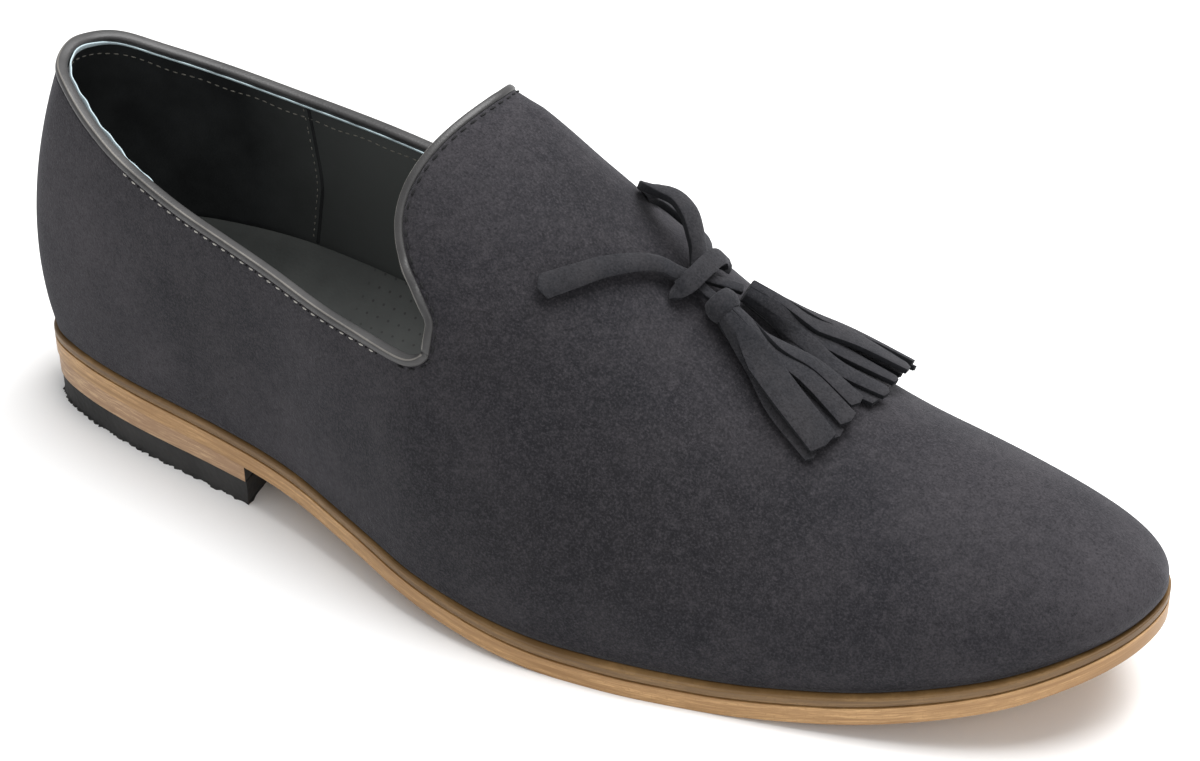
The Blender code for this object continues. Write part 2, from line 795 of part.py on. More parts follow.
def make_tassel(name, head, heading, strips, over, suede):
    """A tassel: a wrapped head, with its strips fused on and spread over the vamp."""
    x = KNOT_ALONG * SOLE_LENGTH + head[0]
    y = KNOT_ACROSS * BALL_WIDTH + head[1]
    forward = Vector((math.cos(math.radians(heading)), math.sin(math.radians(heading))))
    aside = Vector((-forward.y, forward.x))

    def place(reach, spread, lift):
        plan = Vector((x, y)) + (forward * reach + aside * spread) * TASSEL_LENGTH
        return over(plan.x, plan.y, lift)

    seat = TASSEL_HEAD / 2 + 2 * CLEARANCE
    start, normal = place(0.0, 0.0, seat)
    end = place(HEAD_SHARE, 0.0, seat)[0]
    axis = (end - start).normalized()
    side = axis.cross(normal).normalized()
    up = side.cross(axis)
    bm = bmesh.new()
    rings = []
    for row in HEAD_PROFILE:
        middle = start.lerp(end, row[HEAD_PLACE])
        ring = []
        for step in range(HEAD_ROUND):
            angle = 2 * math.pi * step / HEAD_ROUND
            spoke = side * math.cos(angle) + up * math.sin(angle)
            ring.append(middle + spoke * (row[HEAD_RADIUS] * TASSEL_HEAD / 2))
        rings.append(ring)
    swept(bm, rings)
    made = add_object(name, bm, suede)
    fan = bmesh.new()
    for row in strips:
        middle = row[MIDDLE] * TASSEL_HEAD
        drop = middle - seat
        stations = (
            (HEAD_SHARE * ROOT_REACH, row[ASIDE] * ROOT_SPREAD, seat + drop * ROOT_DROP),
            (HEAD_SHARE * BEND_REACH, row[ASIDE] * BEND_SPREAD, seat + drop * BEND_DROP),
            (row[REACH] * MIDDLE_REACH, row[ASIDE] * MIDDLE_SPREAD, middle),
            (row[REACH], row[ASIDE], row[TIP] * TASSEL_HEAD),
        )
        found = [place(*station) for station in stations]
        points = through([point for point, _ in found], LINE_STEPS)
        normals = through([normal for _, normal in found], LINE_STEPS)
        swept(fan, strip_rings(points, normals, row[BROAD] * STRIP_WIDTH, STRIP_LEATHER, SQUARE_STRIP))
    helper = add_object(name + "_strips", fan, suede)
    helper.hide_render = True
    helper.display_type = "WIRE"
    join = made.modifiers.new("strips fused on", "BOOLEAN")
    join.operation = "UNION"
    join.object = helper
    join.use_self = True


def centre_on_floor(objects):
    """Moves the whole shoe so that the middle of its box on the floor is the origin."""
    corners = [vertex.co for made in objects for vertex in made.data.vertices]
    low = [min(corner[axis] for corner in corners) for axis in range(2)]
    high = [max(corner[axis] for corner in corners) for axis in range(2)]
    shift = Vector((-(low[0] + high[0]) / 2, -(low[1] + high[1]) / 2, 0.0))
    for made in bpy.context.collection.objects:
        for vertex in made.data.vertices:
            vertex.co += shift


def main():
    for old in list(bpy.data.objects):
        bpy.data.objects.remove(old)
    make_heel()
    make_outsole()
    make_insole()
    make_welt()
    upper, topline = make_upper()
    make_binding(topline)
    shoe = list(bpy.context.collection.objects)
    over = vamp_under(upper)
    suede = upper.data.materials[0]
    make_tie(over, suede)
    make_tassel("tassel_near", NEAR_HEAD, NEAR_HEADING, NEAR_STRIPS, over, suede)
    make_tassel("tassel_far", FAR_HEAD, FAR_HEADING, FAR_STRIPS, over, suede)
    centre_on_floor(shoe)


main()
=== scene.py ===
"""Looks of a right tassel loafer in grey suede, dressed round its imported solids."""

import math
import random

import bmesh
import bpy
import numpy as np
from mathutils import Matrix, Vector
from mathutils.bvhtree import BVHTree
from mathutils.geometry import intersect_point_line
from mathutils.kdtree import KDTree


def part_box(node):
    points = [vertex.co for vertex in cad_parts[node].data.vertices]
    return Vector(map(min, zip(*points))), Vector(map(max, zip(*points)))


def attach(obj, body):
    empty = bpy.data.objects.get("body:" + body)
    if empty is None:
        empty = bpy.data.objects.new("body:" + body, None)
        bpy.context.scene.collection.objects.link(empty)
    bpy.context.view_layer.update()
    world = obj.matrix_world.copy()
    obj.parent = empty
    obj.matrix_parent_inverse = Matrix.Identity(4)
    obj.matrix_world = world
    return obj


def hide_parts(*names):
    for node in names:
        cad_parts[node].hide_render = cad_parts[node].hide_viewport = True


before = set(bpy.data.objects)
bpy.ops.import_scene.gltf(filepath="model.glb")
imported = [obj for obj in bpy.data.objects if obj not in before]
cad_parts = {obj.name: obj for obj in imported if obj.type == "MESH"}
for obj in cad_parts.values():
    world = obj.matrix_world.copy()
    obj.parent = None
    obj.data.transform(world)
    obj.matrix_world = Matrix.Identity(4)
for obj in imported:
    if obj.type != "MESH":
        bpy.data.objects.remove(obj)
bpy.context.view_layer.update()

# Camera
# A long lens looks down on the shoe's outer side from in front of the heel, at the photo's own angle.
# Its shift only puts the shoe where the photo has it in the frame.
PHOTO_WIDTH = 1200.0
PHOTO_MIDDLE = (600.0, 380.5)
AIM_PIXEL = (651.17, 439.18)
AIM = (0.166, 0.0, 0.03)
LAST_AXIS = 0.00498
TURN = math.radians(28.369)
LOOK_DOWN = math.radians(35.826)
ROLL = math.radians(-0.338)
LENS = 90.0
SENSOR = 36.0
DISTANCE = 0.690
heel_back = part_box("outsole")[0].x
heel_middle = Vector((heel_back, LAST_AXIS, 0.0))
back = Vector((
    math.sin(TURN) * math.cos(LOOK_DOWN),
    -math.cos(TURN) * math.cos(LOOK_DOWN),
    math.sin(LOOK_DOWN),
))
level = (-back).cross(Vector((0.0, 0.0, 1.0))).normalized()
upright = level.cross(-back)
camera_data = bpy.data.cameras.new("camera")
camera_data.lens = LENS
camera_data.sensor_width = SENSOR
camera_data.shift_x = (PHOTO_MIDDLE[0] - AIM_PIXEL[0]) / PHOTO_WIDTH
camera_data.shift_y = (AIM_PIXEL[1] - PHOTO_MIDDLE[1]) / PHOTO_WIDTH
camera = bpy.data.objects.new("camera", camera_data)
bpy.context.scene.collection.objects.link(camera)
rolled = level * math.cos(ROLL) + upright * math.sin(ROLL)
stood = upright * math.cos(ROLL) - level * math.sin(ROLL)
place = Matrix((rolled, stood, back)).transposed().to_4x4()
place.translation = Vector(AIM) + heel_middle + back * DISTANCE
camera.matrix_world = place
bpy.context.scene.camera = camera

# Tie: knot, loop, free end and the two short legs
# One flat lace of grey suede with raw cut edges. It is tied once on the vamp, so that one loop stands up
# behind the knot, one end lies over the outer side and two legs run forwards to the tassels. Each point of
# a route is forward from the knot, to the inner side of it, and square up from the vamp.
KNOT_PLACE = Vector((0.17693, -0.00179, 0.0)) + heel_middle
LACE_LEATHER = 0.0015
LACE_CORNER = 0.00028
SOFTENED = math.radians(40.0)
VAMP_SPAN = 0.0045
ROUTE_STEPS = 8
STRIP_FACES = 4
DIRECTION_SHARE = 0.02
POINT_FROM = 0.85
LOOP_ROUTE = (
    (0.0000, 0.0010, 0.0032),
    (-0.0024, 0.0028, 0.0054),
    (-0.0050, 0.0036, 0.0078),
    (-0.0085, 0.0046, 0.0098),
    (-0.0121, 0.0060, 0.0091),
    (-0.0154, 0.0068, 0.0068),
    (-0.0171, 0.0082, 0.0040),
    (-0.0178, 0.0114, 0.0019),
    (-0.0171, 0.0160, 0.0012),
    (-0.0146, 0.0198, 0.0011),
    (-0.0106, 0.0202, 0.0011),
    (-0.0066, 0.0168, 0.0012),
    (-0.0028, 0.0100, 0.0015),
    (0.0000, 0.0026, 0.0024),
)
END_ROUTE = (
    (-0.0005, -0.0015, 0.0030),
    (-0.0030, -0.0030, 0.0032),
    (-0.0064, -0.0046, 0.0034),
    (-0.0098, -0.0078, 0.0033),
    (-0.0146, -0.0137, 0.0032),
    (-0.0189, -0.0194, 0.0028),
    (-0.0232, -0.0242, 0.0021),
)
NEAR_LEG = ((0.0005, -0.0010, 0.0024), (0.0032, -0.0018, 0.0030), (0.0059, -0.0022, 0.0038))
FAR_LEG = ((0.0005, 0.0005, 0.0026), (0.0046, 0.0026, 0.0032), (0.0086, 0.0047, 0.0037))
LOOP_WIDTHS = (0.0038, 0.0048, 0.0050, 0.0046, 0.0042, 0.0036)
LOOP_LEATHER = 0.0021
END_WIDTHS = (0.0028, 0.0032, 0.0038, 0.0046, 0.0054)
LEG_WIDTHS = (0.0024, 0.0024)
BAND_ROUTE = (
    (-0.0014, -0.0060, 0.0008),
    (-0.0008, -0.0056, 0.0030),
    (-0.0002, -0.0042, 0.0048),
    (0.0003, -0.0013, 0.0058),
    (0.0005, 0.0020, 0.0057),
    (0.0007, 0.0046, 0.0052),
    (0.0012, 0.0068, 0.0046),
    (0.0021, 0.0080, 0.0034),
    (0.0026, 0.0076, 0.0018),
)
BAND_WIDTHS = (0.0034, 0.0040, 0.0042, 0.0040, 0.0036)
BAND_LEATHER = 0.0018
BUNDLE_SIZE = (0.0046, 0.0088, 0.0040)
BUNDLE_CLEAR = 0.0004
TIE_DEEP = (0.0165, 0.0170, 0.0200, 1.0)
TIE_WARM = (0.0260, 0.0250, 0.0275, 1.0)
TIE_LIGHT = (0.040, 0.039, 0.043, 1.0)
TIE_CUT = (0.008, 0.0085, 0.010, 1.0)
NAP_SHADE = (0.006, 0.006, 0.007, 1.0)
SHEEN = (0.80, 0.80, 0.86, 1.0)
FLECKS = 1900.0

upper_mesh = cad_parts["upper"].data
upper_tree = BVHTree.FromPolygons(
    [vertex.co for vertex in upper_mesh.vertices],
    [tuple(polygon.vertices) for polygon in upper_mesh.polygons],
)


def vamp_height(x, y):
    return upper_tree.ray_cast(Vector((x, y, 1.0)), Vector((0.0, 0.0, -1.0)))[0].z


def on_vamp(x, y, lift):
    """The point at a height square over a place on the vamp, and the direction square to the vamp there."""
    slope_x = (vamp_height(x + VAMP_SPAN, y) - vamp_height(x - VAMP_SPAN, y)) / (2 * VAMP_SPAN)
    slope_y = (vamp_height(x, y + VAMP_SPAN) - vamp_height(x, y - VAMP_SPAN)) / (2 * VAMP_SPAN)
    square = Vector((-slope_x, -slope_y, 1.0)).normalized()
    return Vector((x, y, vamp_height(x, y))) + square * lift, square


def through(points, steps):
    """A smooth line through the points, with so many steps between each two."""
    line = []
    for index in range(len(points) - 1):
        start = points[index]
        end = points[index + 1]
        leaving = (end - points[max(index - 1, 0)]) / 2
        arriving = (points[min(index + 2, len(points) - 1)] - start) / 2
        for step in range(steps):
            share = step / steps
            rest = 1.0 - share
            line.append(
                start * (rest * rest * (1 + 2 * share))
                + end * (share * share * (3 - 2 * share))
                + leaving * (share * rest * rest)
                - arriving * (share * share * rest)
            )
    line.append(points[-1])
    return line


def travelled(spots):
    """How far along a line each of its spots is."""
    return np.concatenate([[0.0], np.cumsum([(b - a).length for a, b in zip(spots, spots[1:])])])


def along(points, share):
    """The point at a share of a line of points."""
    spot = min(max(share, 0.0), 1.0) * (len(points) - 1)
    index = min(int(spot), len(points) - 2)
    return points[index].lerp(points[index + 1], spot - index)


def laid(bm, steps, across, rule):
    """A grid of faces whose points are placed by a rule from their shares along and across."""
    made = bmesh.ops.create_grid(bm, x_segments=steps, y_segments=across, size=1.0)["verts"]
    half = max(vertex.co.x for vertex in made)
    for vertex in made:
        vertex.co = rule((vertex.co.x / half + 1) / 2, (vertex.co.y / half + 1) / 2)
    return made


def ribbon(bm, line, faces, widths, steps=40, point=0.0, cup=0.0):
    """Lays a flat strip along a line, facing the directions, cupped across and cut to a blunt point."""
    places = np.linspace(0.0, 1.0, len(widths))

    def rule(share, across):
        run = (along(line, share + DIRECTION_SHARE) - along(line, share - DIRECTION_SHARE)).normalized()
        side = run.cross(along(faces, share)).normalized()
        off = 2 * across - 1
        tip = run * (point * (1 - abs(off)) * max(0.0, (share - POINT_FROM) / (1 - POINT_FROM)))
        fall = side.cross(run) * (-cup * off * off)
        return along(line, share) + side * (off * np.interp(share, places, widths) / 2) + tip + fall

    return laid(bm, steps, STRIP_FACES, rule)


def add_node(tree, kind, **sockets):
    """A shader node, its named inputs set to values or linked from the outputs of other nodes."""
    made = tree.nodes.new("ShaderNode" + kind)
    for name, given in sockets.items():
        socket = made.inputs[name.replace("_", " ")]
        if isinstance(given, bpy.types.NodeSocket):
            tree.links.new(given, socket)
        else:
            socket.default_value = given
    return made


def mixed(tree, share, first, second):
    """The output of two colours mixed by a share."""
    made = tree.nodes.new("ShaderNodeMix")
    made.data_type = "RGBA"
    for index, given in ((0, share), (6, first), (7, second)):
        if isinstance(given, bpy.types.NodeSocket):
            tree.links.new(given, made.inputs[index])
        else:
            made.inputs[index].default_value = given
    return made.outputs[2]


def ranged(tree, value, low, high, out_low=0.0, out_high=1.0):
    """The output of a value spread from one range over another."""
    made = add_node(
        tree, "MapRange", Value=value, From_Min=low, From_Max=high, To_Min=out_low, To_Max=out_high
    )
    return made.outputs["Result"]


def over(tree, value, low, high, most, under, colour):
    """The output of a colour laid over another, by up to a share as a value runs from low to high."""
    return mixed(tree, ranged(tree, value, low, high, 0.0, most), under, colour)


def noise(tree, vector, scale, detail=2.0, roughness=0.5):
    return add_node(
        tree, "TexNoise", Vector=vector, Scale=scale, Detail=detail, Roughness=roughness
    ).outputs["Fac"]


def start_group(name, inputs, outputs):
    """A node group with named sockets, and its inner ends."""
    group = bpy.data.node_groups.new(name, "ShaderNodeTree")
    for title, kind in inputs:
        group.interface.new_socket(title, in_out="INPUT", socket_type="NodeSocket" + kind)
    for title, kind in outputs:
        group.interface.new_socket(title, in_out="OUTPUT", socket_type="NodeSocket" + kind)
    return group, group.nodes.new("NodeGroupInput").outputs, group.nodes.new("NodeGroupOutput").inputs


def place_group(tree, group, **sockets):
    made = tree.nodes.new("ShaderNodeGroup")
    made.node_tree = group
    for name, given in sockets.items():
        if isinstance(given, bpy.types.NodeSocket):
            tree.links.new(given, made.inputs[name])
        else:
            made.inputs[name].default_value = given
    return made.outputs


def start_material(name, **constants):
    """A material with constants on its shader, and its node tree, shader and object coordinates."""
    made = bpy.data.materials.new(name)
    made.use_nodes = True
    tree = made.node_tree
    shader = tree.nodes["Principled BSDF"]
    for title, given in constants.items():
        shader.inputs[title.replace("_", " ")].default_value = given
    return made, tree, shader, tree.nodes.new("ShaderNodeTexCoord").outputs["Object"]


def bumped(tree, shader, height, strength, distance):
    """Feeds a height to the shader's normal."""
    bump = add_node(tree, "Bump", Height=height, Strength=strength, Distance=distance)
    tree.links.new(bump.outputs["Normal"], shader.inputs["Normal"])


# Suede nap. Its last input paints light and shade into the colour: above nought lighter, below nought
# darker.
nap, given, result = start_group(
    "suede_nap",
    (("Place", "Vector"), ("Deep", "Color"), ("Warm", "Color"), ("Light", "Color"), ("Brushing", "Float"),
     ("Stroke", "Float")),
    (("Colour", "Color"), ("Height", "Float")),
)
patches = noise(nap, given["Place"], 60.0, 5.0, 0.70)
mottle = noise(nap, given["Place"], 520.0, 4.0, 0.70)
fleck = noise(nap, given["Place"], given["Brushing"], 3.0, 0.7)
brushed = over(nap, patches, 0.40, 0.62, 1.0, given["Deep"], given["Warm"])

# Layers over the patches: a pattern, the values it runs between, its most share, and its colour. The first
# two rows lay painted light and painted shade from the last input.
for pattern, low, high, most, colour in (
    (given["Stroke"], 0.0, 1.0, 0.9, given["Light"]),
    (given["Stroke"], 0.0, -1.0, 0.9, NAP_SHADE),
    (mottle, 0.50, 0.70, 0.26, given["Light"]),
    (mottle, 0.48, 0.30, 0.32, NAP_SHADE),
    (fleck, 0.50, 0.72, 0.55, given["Light"]),
    (fleck, 0.48, 0.26, 0.70, NAP_SHADE),
):
    brushed = over(nap, pattern, low, high, most, brushed, colour)
nap.links.new(brushed, result["Colour"])
nap.links.new(fleck, result["Height"])


def suede(name, deep, warm, light, sheen):
    """Napped suede: brushed patches, a mottle, flecks of lit fibre, painted light and shade read from a
    per-point attribute, and a soft sheen at grazing angles.
    """
    made, tree, shader, spot = start_material(
        name, Roughness=0.92, Sheen_Weight=sheen, Sheen_Roughness=0.45, Specular_IOR_Level=0.15
    )
    shader.inputs["Sheen Tint"].default_value = SHEEN
    # Painted light and shade, read per point from the suede's attribute
    painted_light_shade = tree.nodes.new("ShaderNodeAttribute")
    painted_light_shade.attribute_name = "painted_light_shade"
    out = place_group(
        tree, nap, Place=spot, Deep=deep, Warm=warm, Light=light, Brushing=FLECKS,
        Stroke=painted_light_shade.outputs["Fac"],
    )
    tree.links.new(out["Colour"], shader.inputs["Base Color"])
    bumped(tree, shader, out["Height"], 0.45, 0.0005)
    return made


lace_suede = suede("lace_suede", TIE_DEEP, TIE_WARM, TIE_LIGHT, sheen=0.10)
lace_cut = suede("lace_cut_edge", TIE_CUT, TIE_CUT, TIE_DEEP, sheen=0.04)


def add_piece(name, bm, finishes):
    """Makes a bmesh a piece that rides on the shoe and takes its finish from a slot."""
    mesh = bpy.data.meshes.new(name)
    bm.to_mesh(mesh)
    bm.free()
    mesh.shade_smooth()
    for finish in finishes:
        mesh.materials.append(finish)
    piece = bpy.data.objects.new(name, mesh)
    bpy.context.scene.collection.objects.link(piece)
    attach(piece, "root")
    return piece


def soften(piece, title, corner):
    """Rounds a piece's sharp edges."""
    soft = piece.modifiers.new(title, "BEVEL")
    soft.width = corner
    soft.segments = 2
    soft.limit_method = "ANGLE"
    soft.angle_limit = SOFTENED


def thicken(piece, leather, corner=LACE_CORNER):
    """Gives laid strips the leather's thickness, with dark cut edges and softened corners."""
    wall = piece.modifiers.new("leather", "SOLIDIFY")
    wall.thickness = leather
    wall.offset = 0.0
    wall.use_even_offset = True
    wall.material_offset_rim = 1
    soften(piece, "soft corners", corner)


def lace(name, route, widths, steps, point=0.0, leather=LACE_LEATHER, cup=0.0002, corner=LACE_CORNER):
    """A length of the lace along a route from the knot."""
    found = [on_vamp(KNOT_PLACE.x + x, KNOT_PLACE.y + y, lift) for x, y, lift in route]
    line = through([spot for spot, _ in found], ROUTE_STEPS)
    faces = through([square for _, square in found], ROUTE_STEPS)
    bm = bmesh.new()
    ribbon(bm, line, faces, widths, steps, point, cup)
    piece = add_piece(name, bm, (lace_suede, lace_cut))
    thicken(piece, leather, corner)
    return piece, line


loop_strip, loop_line = lace(
    "loop_strip", LOOP_ROUTE, LOOP_WIDTHS, steps=90, leather=LOOP_LEATHER, cup=0.0006, corner=0.0008
)
end_strip, end_line = lace("end_strip", END_ROUTE, END_WIDTHS, steps=60, point=0.0016, cup=0.0007)
near_leg, _ = lace("near_leg", NEAR_LEG, LEG_WIDTHS, steps=12)
far_leg, _ = lace("far_leg", FAR_LEG, LEG_WIDTHS, steps=12)
knot_band, _ = lace(
    "knot_band", BAND_ROUTE, BAND_WIDTHS, steps=40, leather=BAND_LEATHER, cup=0.0004, corner=0.0006
)

middle, square = on_vamp(KNOT_PLACE.x, KNOT_PLACE.y, BUNDLE_SIZE[2] / 2 + BUNDLE_CLEAR)
facing = Vector((0.0, 1.0, 0.0)).cross(square).normalized()
axes = Matrix((facing, square.cross(facing), square)).transposed().to_4x4()
bm = bmesh.new()
bmesh.ops.create_icosphere(bm, subdivisions=4, radius=0.5)
bmesh.ops.scale(bm, vec=BUNDLE_SIZE, verts=bm.verts)
bmesh.ops.transform(bm, matrix=Matrix.Translation(middle) @ axes, verts=bm.verts)
knot_bundle = add_piece("knot_bundle", bm, (lace_suede,))

# Tassels
# Each is a rectangle of the same suede, cut into strips along one edge and rolled round the end of its
# leg. The near one's neck is bound with a turn of lace, and the strips spread over the vamp.
TASSEL_LENGTH = 0.0355
HEAD_RADIUS = 0.0033
HEAD_SHARE = 0.20
STRIP_WIDTH = 0.0036
STRIP_LEATHER = 0.0012
SEAT = 0.0039

# Strips of a tassel: how far their tips reach and lie aside, in tassel lengths, how high their middle and
# their tip lie, in head widths, how broad they are, in strip widths, and where round the head they start
REACH, ASIDE, MIDDLE, TIP, BROAD, ROUND = range(6)
NEAR_HEAD = (0.0062, -0.0022)
NEAR_HEADING = math.radians(-15.0)
FAR_HEAD = (0.0093, 0.0052)
FAR_HEADING = math.radians(10.0)
NEAR_STRIPS = (
    (0.95, -0.14, 0.24, 0.20, 0.9, -84.0),
    (0.90, -0.07, 0.26, 0.22, 0.9, -135.0),
    (0.96, -0.05, 0.66, 0.46, 2.0, -30.0),
    (0.98, 0.06, 0.32, 0.26, 1.0, 174.0),
    (0.97, 0.16, 0.60, 0.50, 1.3, 21.0),
    (0.95, 0.20, 0.34, 0.34, 1.0, 123.0),
    (0.93, 0.28, 0.60, 0.56, 1.1, 72.0),
)
FAR_STRIPS = (
    (0.93, -0.20, 0.26, 0.24, 1.2, -135.0),
    (0.97, -0.15, 0.48, 0.44, 1.1, -90.0),
    (0.93, -0.05, 0.24, 0.26, 1.0, 180.0),
    (0.97, 0.03, 0.50, 0.48, 1.2, -45.0),
    (0.98, 0.16, 0.84, 0.84, 1.9, 0.0),
    (0.95, 0.22, 0.34, 0.46, 1.1, 135.0),
    (0.96, 0.30, 0.86, 0.96, 1.1, 45.0),
    (0.97, 0.37, 0.58, 0.80, 1.0, 90.0),
)

# How the strips leave the head and spread, as shares of their reach, aside, rise and turn to the vamp
STRIP_STEPS = 6
SUNK = 0.4
ROOT_GROWTH = 1.05
FIRST_RUN = 0.20
FIRST_ASIDE = 0.52
FIRST_RISE = 0.6
FIRST_TURN = 0.6
NEXT_RUN = 0.66
NEXT_ASIDE = 0.9
NEXT_TURN = 0.85

# The roll inside the head and the wrap round the neck: their turns, sizes and slant
ROUND_STEPS = 48
ACROSS_STEPS = 6
CORE_TURNS = 1.6
CORE_START = 0.25
CORE_SET_IN = 0.4
CORE_LENGTH = 1.4
CORE_LEATHER = 0.8
WRAP_TURNS = 1.15
WRAP_START = 0.6
WRAP_TIGHT = 0.86
WRAP_GROWTH = 0.22
WRAP_ROUNDING = 0.0008
WRAP_LENGTH = 1.5
WRAP_SLANT = 0.001


def tassel(name, node, head, heading, strips, neck):
    """A rolled tassel: its strips run from round the head, and where it has a neck, a wrap binds it."""
    x = KNOT_PLACE.x + head[0]
    y = KNOT_PLACE.y + head[1]
    ahead = Vector((math.cos(heading), math.sin(heading)))
    aside = Vector((-ahead.y, ahead.x))

    def spot(reach, spread, lift):
        plan = Vector((x, y)) + (ahead * reach + aside * spread) * TASSEL_LENGTH
        return on_vamp(plan.x, plan.y, lift)

    start, square = spot(0.0, 0.0, SEAT)
    end = spot(HEAD_SHARE, 0.0, SEAT)[0]
    axis = (end - start).normalized()
    side = square.cross(axis).normalized()
    top = axis.cross(side)
    bm = bmesh.new()
    for row in strips:
        angle = math.radians(row[ROUND])
        spoke = top * math.cos(angle) + side * math.sin(angle)
        middle = row[MIDDLE] * 2 * HEAD_RADIUS
        first = SEAT + (middle - SEAT) * FIRST_RISE
        points = [
            start + axis * neck + spoke * (HEAD_RADIUS - STRIP_LEATHER),
            end + spoke * (HEAD_RADIUS - STRIP_LEATHER * SUNK),
        ]
        faces = [spoke, spoke]
        for reach, spread, lift, turned in (
            (HEAD_SHARE + FIRST_RUN, row[ASIDE] * FIRST_ASIDE, first, FIRST_TURN),
            (row[REACH] * NEXT_RUN, row[ASIDE] * NEXT_ASIDE, middle, NEXT_TURN),
            (row[REACH], row[ASIDE], row[TIP] * 2 * HEAD_RADIUS, 1.0),
        ):
            here, up = spot(reach, spread, lift)
            points.append(here)
            faces.append((spoke * (1 - turned) + up * turned).normalized())
        root = 2 * math.pi * HEAD_RADIUS / len(strips)
        broad = STRIP_WIDTH * row[BROAD]
        line = through(points, STRIP_STEPS)
        widths = (root, root * ROOT_GROWTH, broad, broad, broad)
        ribbon(bm, line, through(faces, STRIP_STEPS), widths, steps=30, point=0.0008, cup=0.0002)
    piece = add_piece(name, bm, (lace_suede, lace_cut))
    thicken(piece, STRIP_LEATHER)
    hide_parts(node)

    def roll(share, across):
        angle = 2 * math.pi * CORE_TURNS * share
        radius = (HEAD_RADIUS - STRIP_LEATHER) * (CORE_START + (1 - CORE_START) * share)
        spoke = top * math.cos(angle) + side * math.sin(angle)
        run = neck * CORE_SET_IN + across * HEAD_SHARE * TASSEL_LENGTH * CORE_LENGTH
        return start + axis * run + spoke * radius

    bm = bmesh.new()
    laid(bm, ROUND_STEPS, ACROSS_STEPS, roll)
    core = add_piece(name + "_roll", bm, (lace_suede, lace_cut))
    thicken(core, STRIP_LEATHER * CORE_LEATHER)
    parts = [piece, core]
    if neck:
        def wrap(share, across):
            angle = 2 * math.pi * WRAP_TURNS * share + WRAP_START
            spoke = top * math.cos(angle) + side * math.sin(angle)
            radius = HEAD_RADIUS * (WRAP_TIGHT + WRAP_GROWTH * share) - WRAP_ROUNDING * (2 * across - 1) ** 2
            return start + axis * (neck * WRAP_LENGTH * across - WRAP_SLANT * share) + spoke * radius

        bm = bmesh.new()
        laid(bm, ROUND_STEPS, ACROSS_STEPS, wrap)
        binding = add_piece(name + "_wrap", bm, (lace_suede, lace_cut))
        thicken(binding, STRIP_LEATHER)
        parts.append(binding)
    return parts


near_tassel = tassel("near_tassel", "tassel_near", NEAR_HEAD, NEAR_HEADING, NEAR_STRIPS, neck=0.0030)
far_tassel = tassel("far_tassel", "tassel_far", FAR_HEAD, FAR_HEADING, FAR_STRIPS, neck=0.0)
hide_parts("tie_loop")
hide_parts("tie_end")
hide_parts("tassel_cord_near")
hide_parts("tassel_cord_far")
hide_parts("tie_knot")

# Upper
# Plain one-piece vamp and quarters of grey suede over a dark smooth lining, lasted over the last and
# turned in under the welt. The copy of the solid keeps its form and is made fine and soft.
MERGE = 0.00002
RIM_LIFT = 0.0014
LIFT_REACH = 0.007
PEAK_REACH = 34
PEAK_ROUNDS = 150
PEAK_SOFTENING = 0.5
FROM_BACK = 5
SHARP = math.radians(50.0)
UPPER_DEEP = (0.0172, 0.0168, 0.0200, 1.0)
UPPER_WARM = (0.0285, 0.0268, 0.0303, 1.0)
UPPER_LIGHT = (0.062, 0.057, 0.063, 1.0)
LINING = (0.0095, 0.0105, 0.0110, 1.0)
LINING_LIGHT = (0.024, 0.026, 0.027, 1.0)
# Painted light: the lining's colour where light falls in at the throat
LINING_PAINTED_LIGHT = (0.105, 0.112, 0.108, 1.0)
SUEDE, INSIDE, CUT = range(3)
THROAT = (heel_back + 0.042, heel_back + 0.086)

# Painted light and shade on the suede, lighter where light falls and darker where shade falls: each spot's
# middle from the heel's back, its reach, and how light or dark it paints
SPOT_REACH = 3
PAINTED_AMOUNT = 4
PAINTED_LIGHT_SPOTS = (
    (0.026, -0.021, 0.069, 0.020, 0.30),
    (0.021, -0.022, 0.046, 0.018, 0.25),
    (0.045, -0.029, 0.030, 0.014, 0.32),
    (0.085, -0.036, 0.026, 0.014, 0.28),
    (0.096, -0.038, 0.044, 0.020, 0.15),
    (0.131, -0.016, 0.105, 0.018, 0.10),
    (0.133, -0.029, 0.093, 0.016, 0.10),
    (0.141, 0.005, 0.103, 0.022, 0.10),
    (0.238, -0.008, 0.051, 0.020, 0.10),
    (0.256, -0.011, 0.047, 0.026, 0.20),
    (0.286, -0.009, 0.037, 0.018, 0.45),
    (0.066, -0.033, 0.046, 0.018, -0.25),
    (0.134, -0.049, 0.034, 0.024, -0.30),
    (0.161, -0.051, 0.028, 0.024, -0.25),
    (0.181, -0.043, 0.041, 0.026, -0.30),
    (0.200, -0.041, 0.035, 0.026, -0.25),
    (0.171, -0.033, 0.063, 0.020, -0.20),
    (0.154, -0.005, 0.093, 0.014, -0.30),
    (0.148, -0.035, 0.075, 0.016, -0.30),
    (0.212, -0.027, 0.047, 0.018, -0.20),
    (0.245, -0.035, 0.026, 0.020, -0.15),
)

# Soft creases: two ends from the heel's back, half width, and depth, which is below nought for a ridge
CREASE_FADES = 2.5
CREASES = (
    ((0.1388, -0.0479, 0.0453), (0.1533, -0.0459, 0.0513), 0.0035, 0.00045),
    ((0.1200, -0.0430, 0.0560), (0.1480, -0.0430, 0.0620), 0.0100, 0.00080),
    ((0.1260, -0.0460, 0.0460), (0.1600, -0.0470, 0.0470), 0.0080, -0.00050),
    ((0.0880, -0.0370, 0.0400), (0.1120, -0.0420, 0.0480), 0.0110, 0.00060),
    ((0.2000, -0.0380, 0.0400), (0.1960, -0.0050, 0.0660), 0.0120, 0.00060),
)


def nearest_of(spots):
    """A tree that finds the nearest of some spots."""
    made = KDTree(len(spots))
    for index, spot in enumerate(spots):
        made.insert(spot, index)
    made.balance()
    return made


